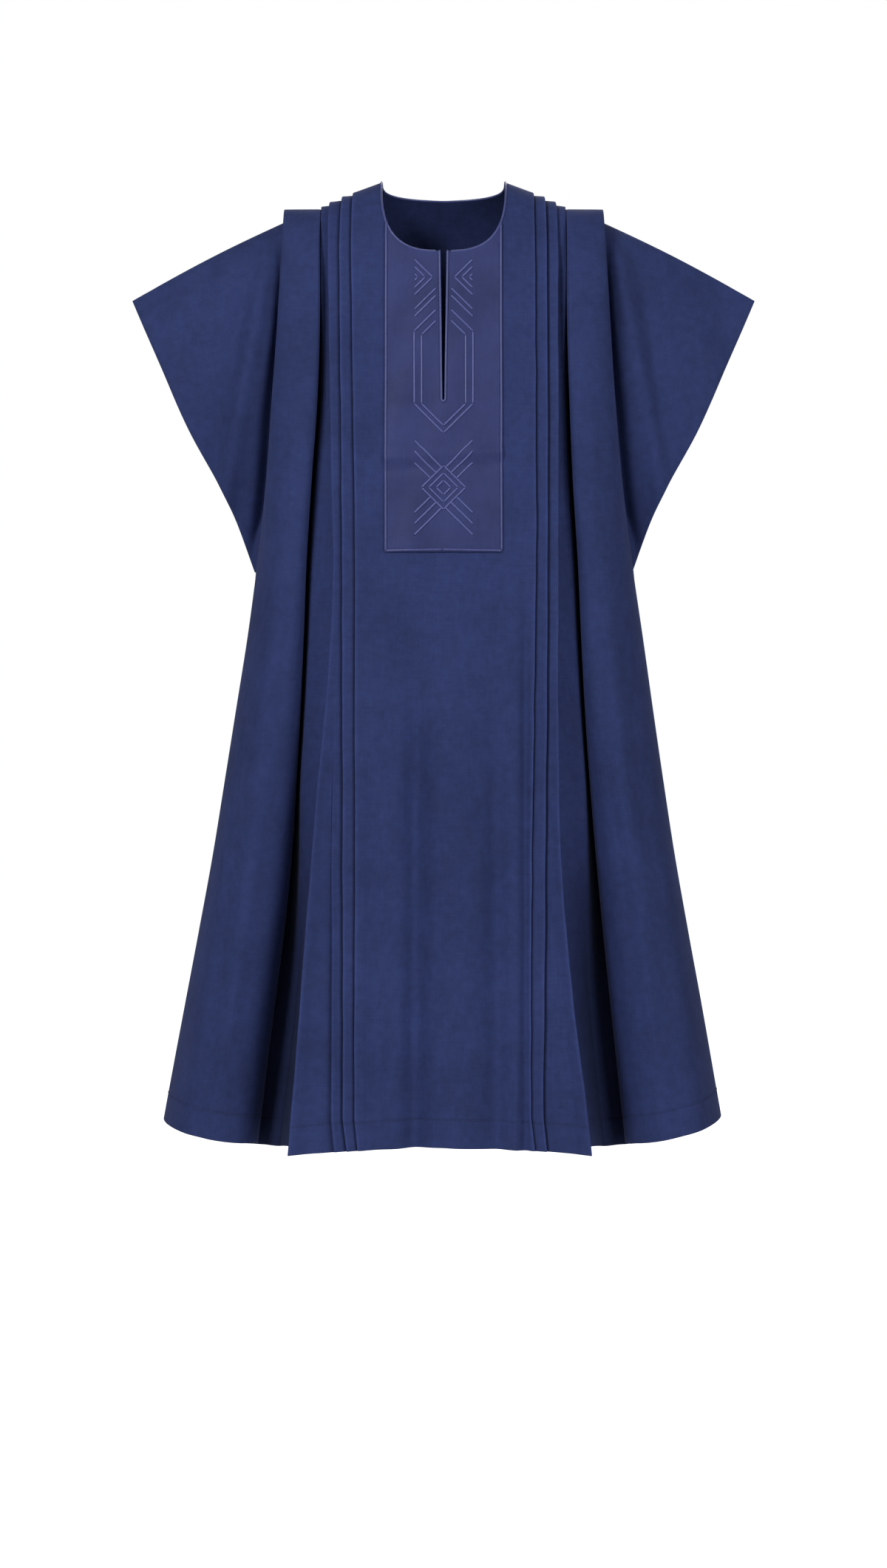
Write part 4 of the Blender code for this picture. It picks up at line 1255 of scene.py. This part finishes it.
# Settings ------------------------------------------------------------------------------------
class RobeSettings(bpy.types.PropertyGroup):
    cloth_thickness: bpy.props.FloatProperty(
        name="Cloth thickness", description="Thickness of the robe's cloth",
        default=0.0009, min=0.0004, max=0.002, unit="LENGTH", precision=5,
    )
    pleat_step: bpy.props.FloatProperty(
        name="Pleat step", description="How far each knife pleat stands above the next",
        default=0.0032, min=0.001, max=0.006, unit="LENGTH", precision=4,
    )
    pleat_tilt: bpy.props.FloatProperty(
        name="Pleat tilt", description="How far each strip climbs to its outer edge, in pleat steps",
        default=0.5, min=0.0, max=1.0,
    )
    hem_width: bpy.props.FloatProperty(
        name="Hem width", description="Width of the turned and sewn hem",
        default=0.031, min=0.01, max=0.035, unit="LENGTH", precision=4,
    )
    cord_width: bpy.props.FloatProperty(
        name="Cord width", description="Diameter of the piping cords",
        default=0.0026, min=0.001, max=0.004, unit="LENGTH", precision=4,
    )
    motif_width: bpy.props.FloatProperty(
        name="Motif line", description="Width of each couched line of the embroidery",
        default=0.0021, min=0.001, max=0.004, unit="LENGTH", precision=4,
    )
    stitch_length: bpy.props.FloatProperty(
        name="Stitch length", description="Length of one stitch of the hems",
        default=0.0028, min=0.001, max=0.006, unit="LENGTH", precision=4,
    )
    weave_scale: bpy.props.FloatProperty(
        name="Weave scale", description="Fineness of the weave", default=330.0, min=50.0, max=800.0,
    )
    floor_height: bpy.props.FloatProperty(
        name="Floor height", description="Height of the studio floor below the shoulders",
        default=-1.50, unit="LENGTH",
    )
    cloth_colour: bpy.props.FloatVectorProperty(
        name="Cloth", description="Colour of the robe's cloth",
        default=(0.0310, 0.0465, 0.152), min=0.0, max=1.0, subtype="COLOR",
    )
    bib_colour: bpy.props.FloatVectorProperty(
        name="Bib", description="Colour of the satin bib",
        default=(0.034, 0.046, 0.158), min=0.0, max=1.0, subtype="COLOR",
    )
    cord_colour: bpy.props.FloatVectorProperty(
        name="Cord", description="Colour of the piping cords",
        default=(0.072, 0.090, 0.270), min=0.0, max=1.0, subtype="COLOR",
    )
    # Painted shadow: the dark colour of the flat tube under each embroidered line
    motif_shadow_colour: bpy.props.FloatVectorProperty(
        name="Bed", description="Colour of the stitches under the embroidery",
        default=(0.014, 0.018, 0.070), min=0.0, max=1.0, subtype="COLOR",
    )
    thread_colour: bpy.props.FloatVectorProperty(
        name="Thread", description="Colour of the embroidery thread",
        default=(0.105, 0.128, 0.360), min=0.0, max=1.0, subtype="COLOR",
    )


def finish_piece(piece, slot, *nodes):
    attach(piece, "root")
    if nodes:
        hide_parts(*nodes)


# Operators -----------------------------------------------------------------------------------
class ROBE_OT_stage(bpy.types.Operator):
    """Pale floor, soft studio light and the camera"""

    bl_idname = "robe.stage"
    bl_label = "Studio"

    def execute(self, context):
        scene = context.scene
        settings = scene.robe
        reach = 14.0
        corners = [
            (-reach, -reach, 0.0), (reach, -reach, 0.0), (reach, reach, 0.0), (-reach, reach, 0.0),
        ]
        mesh = bpy.data.meshes.new("floor")
        mesh.from_pydata(corners, [], [(0, 1, 2, 3)])
        mesh.materials.append(paper_white())
        floor = bpy.data.objects.new("floor", mesh)
        floor.location.z = settings.floor_height
        scene.collection.objects.link(floor)
        self.add_light(scene, "key", (-2.2, -3.0, 1.8), 1.2, 93.0)
        self.add_light(scene, "fill", (2.6, -3.0, 0.6), 1.6, 50.0)
        self.add_light(scene, "rear", (0.6, 3.6, 1.8), 2.4, 40.0)
        self.add_world(scene)
        lens = bpy.data.cameras.new("camera")
        lens.sensor_width = 36.0
        lens.lens = 77.11
        camera = bpy.data.objects.new("camera", lens)
        camera.location = (0.0, -4.0, -0.715)
        camera.rotation_euler = (0.5 * np.pi, 0.0, 0.0)
        scene.collection.objects.link(camera)
        scene.camera = camera
        scene.view_settings.view_transform = "Standard"
        return {"FINISHED"}

    def add_light(self, scene, name, place, size, power):
        lamp = bpy.data.lights.new(name, "AREA")
        lamp.shape = "DISK"
        lamp.size = size
        lamp.energy = power
        light = bpy.data.objects.new(name, lamp)
        light.location = place
        aim = np.array((0.0, 0.0, -0.6)) - np.array(place)
        yaw = np.arctan2(aim[1], aim[0]) - 0.5 * np.pi
        pitch = 0.5 * np.pi + np.arctan2(aim[2], np.hypot(aim[0], aim[1]))
        light.rotation_euler = (pitch, 0.0, yaw)
        scene.collection.objects.link(light)

    def add_world(self, scene):
        """White all round for the camera, and a softer sky for the light it gives."""
        world = bpy.data.worlds.new("studio")
        world.use_nodes = True
        scene.world = world
        tree = world.node_tree
        seen = tree.nodes["Background"]
        seen.inputs["Color"].default_value = (1.0, 1.0, 1.0, 1.0)
        seen.inputs["Strength"].default_value = 1.0
        lit = new_node(tree, "ShaderNodeBackground")
        lit.inputs["Color"].default_value = (0.97, 0.98, 1.0, 1.0)
        lit.inputs["Strength"].default_value = 0.11
        path = new_node(tree, "ShaderNodeLightPath")
        mix = new_node(tree, "ShaderNodeMixShader")
        tree.links.new(path.outputs["Is Camera Ray"], mix.inputs[0])
        tree.links.new(lit.outputs[0], mix.inputs[1])
        tree.links.new(seen.outputs[0], mix.inputs[2])
        tree.links.new(mix.outputs[0], tree.nodes["World Output"].inputs["Surface"])


class ROBE_OT_middle(bpy.types.Operator):
    """Front and back panels with their knife pleats and flares"""

    bl_idname = "robe.middle"
    bl_label = "Front and back"

    def execute(self, context):
        thickness = context.scene.robe.cloth_thickness
        for face in (FRONT, BACK):
            grid, cells, tones = middle_grid(face)
            node = FACE_NAMES[face] + "_panel"
            piece = shell(
                node + "_cloth", grid, cells, face, woven_cloth(), thickness, tones, straight=True
            )
            finish_piece(piece, "cloth", node)
        return {"FINISHED"}


class ROBE_OT_sides(bpy.types.Operator):
    """Side panels, each with its recessed strip and its wide fold over the shoulder"""

    bl_idname = "robe.sides"
    bl_label = "Side panels"

    def execute(self, context):
        thickness = context.scene.robe.cloth_thickness
        for side in SIDES:
            for face in (FRONT, BACK):
                grid, cells, tones = side_columns(face, side)
                node = f"{SIDE_NAMES[side]}_side_{FACE_NAMES[face]}"
                piece = shell(node + "_cloth", grid, cells, face, woven_cloth(), thickness, tones)
                finish_piece(piece, "cloth", node)
        return {"FINISHED"}


class ROBE_OT_sleeves(bpy.types.Operator):
    """Winged open sleeves"""

    bl_idname = "robe.sleeves"
    bl_label = "Sleeves"

    def execute(self, context):
        thickness = context.scene.robe.cloth_thickness
        for side in SIDES:
            for face in (FRONT, BACK):
                grid, cells = sleeve_grid(face, side)
                node = f"{SIDE_NAMES[side]}_sleeve_{FACE_NAMES[face]}"
                piece = shell(node + "_cloth", grid, cells, face, woven_cloth(), thickness)
                finish_piece(piece, "cloth", node)
        return {"FINISHED"}


class ROBE_OT_bib(bpy.types.Operator):
    """Satin bib on the chest"""

    bl_idname = "robe.bib"
    bl_label = "Bib"

    def execute(self, context):
        settings = context.scene.robe
        lift = 0.5 * settings.cloth_thickness + 0.0006
        sides = []
        for side in SIDES:
            columns = []
            for share in np.linspace(0.0, 1.0, 34):
                end = BIB_HALF_WIDTH * share
                top = float(neck_height(FRONT, max(end, SLIT_TOP_HALF)))
                turn = np.linspace(0.0, 1.0, 90)
                upper = top + (SLIT_TIP - top) * turn
                lower = SLIT_TIP + (BIB_FOOT - SLIT_TIP) * np.linspace(0.0, 1.0, 80)[1:]
                height = np.concatenate([upper, lower])
                across = (1 - share) * slit_edge(height) + share * BIB_HALF_WIDTH
                points, _ = front_points(side * across, height, lift, bib=True)
                columns.append(points)
            sides.append(columns)
        grid = np.stack(sides[0][::-1] + sides[1], axis=1)
        cells = np.ones((grid.shape[0] - 1, grid.shape[1] - 1), bool)
        cells[:89, grid.shape[1] // 2 - 1] = False
        piece = shell("bib_satin", grid, cells, FRONT, bib_satin(), 0.0008, straight=True)
        finish_piece(piece, "bib_cloth", "bib")
        return {"FINISHED"}


class ROBE_OT_cords(bpy.types.Operator):
    """Piping cords round the neck, the slit and the bib"""

    bl_idname = "robe.cords"
    bl_label = "Piping"

    def execute(self, context):
        settings = context.scene.robe
        width = settings.cord_width
        lift = 0.5 * settings.cloth_thickness + 0.0009 + 0.30 * width
        material = satin_thread("piping_cord", settings.cord_colour, 260.0, 0.38)
        self.bib_cord(width, lift, material)
        self.slit_cord(width, lift, material)
        self.neck_cord(width, material)
        return {"FINISHED"}

    def bib_cord(self, width, lift, material):
        inset = BIB_HALF_WIDTH - 0.5 * width
        top = float(neck_height(FRONT, inset)) - 0.5 * width
        foot = BIB_FOOT + 0.5 * width
        route = [(-inset, top), (-inset, foot), (-0.001, foot + 0.0009), (inset, foot), (inset, top)]
        paths = []
        outs = []
        for start, end in zip(route[:-1], route[1:]):
            flat = resampled([start, end], 0.002)
            points, out = front_points(flat[:, 0], flat[:, 1], lift, bib=True)
            paths.append(points)
            outs.append(out)
        piece = tube("bib_piping", paths, outs, width, width, 10, material)
        finish_piece(piece, "cord", "bib_cord")

    def slit_cord(self, width, lift, material):
        height = np.linspace(float(neck_height(FRONT, 0.004)) + 0.0008, SLIT_TIP + 0.002, 90)
        beside = slit_edge(height) + 0.0007
        turn = np.linspace(0.0, np.pi, 11)[1:-1]
        reach = float(beside[-1])
        across = np.concatenate([-beside, -reach * np.cos(turn), beside[::-1]])
        tip = height[-1] - 1.5 * reach * np.sin(turn)
        heights = np.concatenate([height, tip, height[::-1]])
        flat = resampled(np.stack([across, heights], axis=1), 0.0012)
        points, out = front_points(flat[:, 0], flat[:, 1], lift, bib=True)
        piece = tube("slit_piping", [points], [out], width, width, 10, material)
        finish_piece(piece, "cord", "slit_cord")

    def neck_cord(self, width, material):
        paths = []
        for face in (FRONT, BACK):
            turn = np.linspace(0.0, 0.5 * np.pi, 80)
            height = float(neck_height(face, 0.0)) * np.cos(turn) ** 2
            across = neck_across(face, height)
            if face == FRONT:
                keep = across > SLIT_TOP_HALF + 0.002
                height = height[keep]
                across = across[keep]
            ridge = shoulder_height(across)
            depth = girth(face, across, height) * shoulder_turn(across, ridge, height)
            paths.append(np.stack([across, face * depth, height], axis=1))
        front, back = paths
        right = np.concatenate([front, back[::-1]])
        left = right * (-1.0, 1.0, 1.0)
        whole = np.concatenate([right, left[::-1][1:]])
        whole = resampled(whole, 0.0020)
        for _ in range(2):
            whole[1:-1] = 0.5 * whole[1:-1] + 0.25 * (whole[:-2] + whole[2:])
        centre = np.array((0.0, 0.0, -0.08))
        out = unit((whole - centre) * (0.7, 1.0, 1.0))
        whole = whole + 0.0008 * out
        piece = tube("neck_piping", [whole], [out], width, width, 10, material)
        finish_piece(piece, "cord", "neck_cord")


def motif_lines():
    """Couched lines of the motif's right half, in units; each is mirrored to the left"""
    lines = []
    for tip in CHEVRON_TIPS:
        reach = MOTIF_EDGE - tip
        lines.append(
            (
                (MOTIF_EDGE, CHEVRON_MIDDLE - reach),
                (tip, CHEVRON_MIDDLE),
                (MOTIF_EDGE, CHEVRON_MIDDLE + reach),
            )
        )
    for top in BAR_TOPS:
        lines.append(((MOTIF_SLIT, top), (MOTIF_EDGE, top + MOTIF_EDGE - MOTIF_SLIT)))
    for half, top, foot in MOTIF_FRAMES:
        lines.append(
            (
                (MOTIF_SLIT, top - (half - MOTIF_SLIT)),
                (half, top),
                (half, foot),
                (0, foot + half),
            )
        )
    for size in DIAMOND_SIZES:
        lines.append(
            (
                (0, DIAMOND_CENTRE - size),
                (size, DIAMOND_CENTRE),
                (0, DIAMOND_CENTRE + size),
            )
        )
    # An arm runs in from the motif's edge until it meets the largest diamond
    largest = DIAMOND_SIZES[-1]
    for start in ARM_STARTS:
        meeting = 0.5 * (largest + MOTIF_EDGE - start)
        for way in (-1, 1):
            lines.append(
                (
                    (MOTIF_EDGE, DIAMOND_CENTRE + way * start),
                    (meeting, DIAMOND_CENTRE + way * (largest - meeting)),
                )
            )
    return lines


class ROBE_OT_motif(bpy.types.Operator):
    """Couched tone-on-tone embroidery on the bib"""

    bl_idname = "robe.motif"
    bl_label = "Embroidery"

    def execute(self, context):
        settings = context.scene.robe
        width = settings.motif_width
        lift = 0.5 * settings.cloth_thickness + 0.0010 + 0.20 * width
        paths = []
        outs = []
        for line in motif_lines():
            for side in SIDES:
                route = [
                    (side * across * MOTIF_UNIT, MOTIF_TOP - down * MOTIF_UNIT)
                    for across, down in line
                ]
                for start, end in zip(route[:-1], route[1:]):
                    flat = resampled([start, end], 0.0016)
                    points, out = front_points(flat[:, 0], flat[:, 1], lift, bib=True)
                    paths.append(points)
                    outs.append(out)
        material = satin_thread("couched_thread", settings.thread_colour, 330.0, 0.36)
        piece = tube("bib_motif", paths, outs, width, 0.9 * width, 8, material)
        finish_piece(piece, "cord")
        # Painted shadow: a wider, flatter, dark tube half sunk under each line darkens both its
        # sides
        shadow_paths = [path - 0.50 * width * out for path, out in zip(paths, outs)]
        material = satin_thread("motif_painted_shadow", settings.motif_shadow_colour, 500.0, 0.75)
        piece = tube("bib_motif_painted_shadow", shadow_paths, outs, 2.5 * width, 0.5 * width, 6, material)
        finish_piece(piece, "cord")
        return {"FINISHED"}


class ROBE_OT_hem(bpy.types.Operator):
    """Stitches that hold the turned hem"""

    bl_idname = "robe.hem"
    bl_label = "Hem stitches"

    def execute(self, context):
        settings = context.scene.robe
        pieces = []
        for face in (FRONT, BACK):
            grid, cells, tones = middle_grid(face)
            pieces.append((FACE_NAMES[face] + "_panel", grid, cells, tones, face))
            for side in SIDES:
                grid, cells, tones = side_columns(face, side)
                name = f"{SIDE_NAMES[side]}_side_{FACE_NAMES[face]}"
                pieces.append((name, grid, cells, tones, face))
        material = satin_thread("hem_thread", settings.cloth_colour, 900.0, 0.6)
        for name, grid, cells, tones, face in pieces:
            paths, outs = self.stitches(grid, cells, tones, face)
            piece = tube(name + "_hem_stitches", paths, outs, 0.0006, 0.0006, 5, material)
            finish_piece(piece, "cord")
        return {"FINISHED"}

    def stitches(self, grid, cells, tones, face):
        """Short straight stitches along the groove above the hem, where cloth lies open to view."""
        settings = bpy.context.scene.robe
        normals = grid_normals(grid, cells, face)
        row = (1.0 - settings.hem_width / BAND_START) * (BAND_ROWS - 1)
        share = row - int(row)
        above = TOP_ROWS + MIDDLE_ROWS + int(row)
        line = (1 - share) * grid[above] + share * grid[above + 1]
        out = unit((1 - share) * normals[above] + share * normals[above + 1])
        line = line + (0.5 * settings.cloth_thickness + 0.0001) * out
        length = np.concatenate([[0.0], np.cumsum(np.linalg.norm(np.diff(line, axis=0), axis=1))])
        open_cells = cells[above].take(np.arange(tones.shape[1]), mode="clip")
        shown = (tones[above] >= STITCH_TONE) & open_cells
        paths = []
        outs = []
        spacing = 1.35 * settings.stitch_length
        for start in np.arange(0.002, length[-1] - settings.stitch_length, spacing):
            at = start + settings.stitch_length * np.array((0.0, 0.35, 0.65, 1.0))
            if np.interp(at, length, shown.astype(float)).min() < 0.99:
                continue
            path = np.stack([np.interp(at, length, line[:, axis]) for axis in range(3)], axis=1)
            up = np.stack([np.interp(at, length, out[:, axis]) for axis in range(3)], axis=1)
            path[1:3] += 0.0002 * up[1:3]
            paths.append(path)
            outs.append(unit(up))
        return paths, outs


class ROBE_PT_panel(bpy.types.Panel):
    """Lists the robe's pieces and settings"""

    bl_idname = "ROBE_PT_panel"
    bl_label = "Grand Boubou Robe"
    bl_space_type = "VIEW_3D"
    bl_region_type = "UI"
    bl_category = "Robe"

    def draw(self, context):
        layout = self.layout
        for name in RobeSettings.__annotations__:
            layout.prop(context.scene.robe, name)
        for operator in OPERATORS:
            layout.operator(operator.bl_idname)


OPERATORS = (
    ROBE_OT_stage,
    ROBE_OT_sides,
    ROBE_OT_middle,
    ROBE_OT_sleeves,
    ROBE_OT_bib,
    ROBE_OT_cords,
    ROBE_OT_motif,
    ROBE_OT_hem,
)
CLASSES = (RobeSettings, *OPERATORS, ROBE_PT_panel)


def register():
    for each in CLASSES:
        bpy.utils.register_class(each)
    bpy.types.Scene.robe = bpy.props.PointerProperty(type=RobeSettings)


def unregister():
    del bpy.types.Scene.robe
    for each in reversed(CLASSES):
        bpy.utils.unregister_class(each)


def main():
    register()
    bpy.ops.robe.stage()
    bpy.ops.robe.sides()
    bpy.ops.robe.middle()
    bpy.ops.robe.sleeves()
    bpy.ops.robe.bib()
    bpy.ops.robe.cords()
    bpy.ops.robe.motif()
    bpy.ops.robe.hem()


if __name__ == "__main__":
    main()
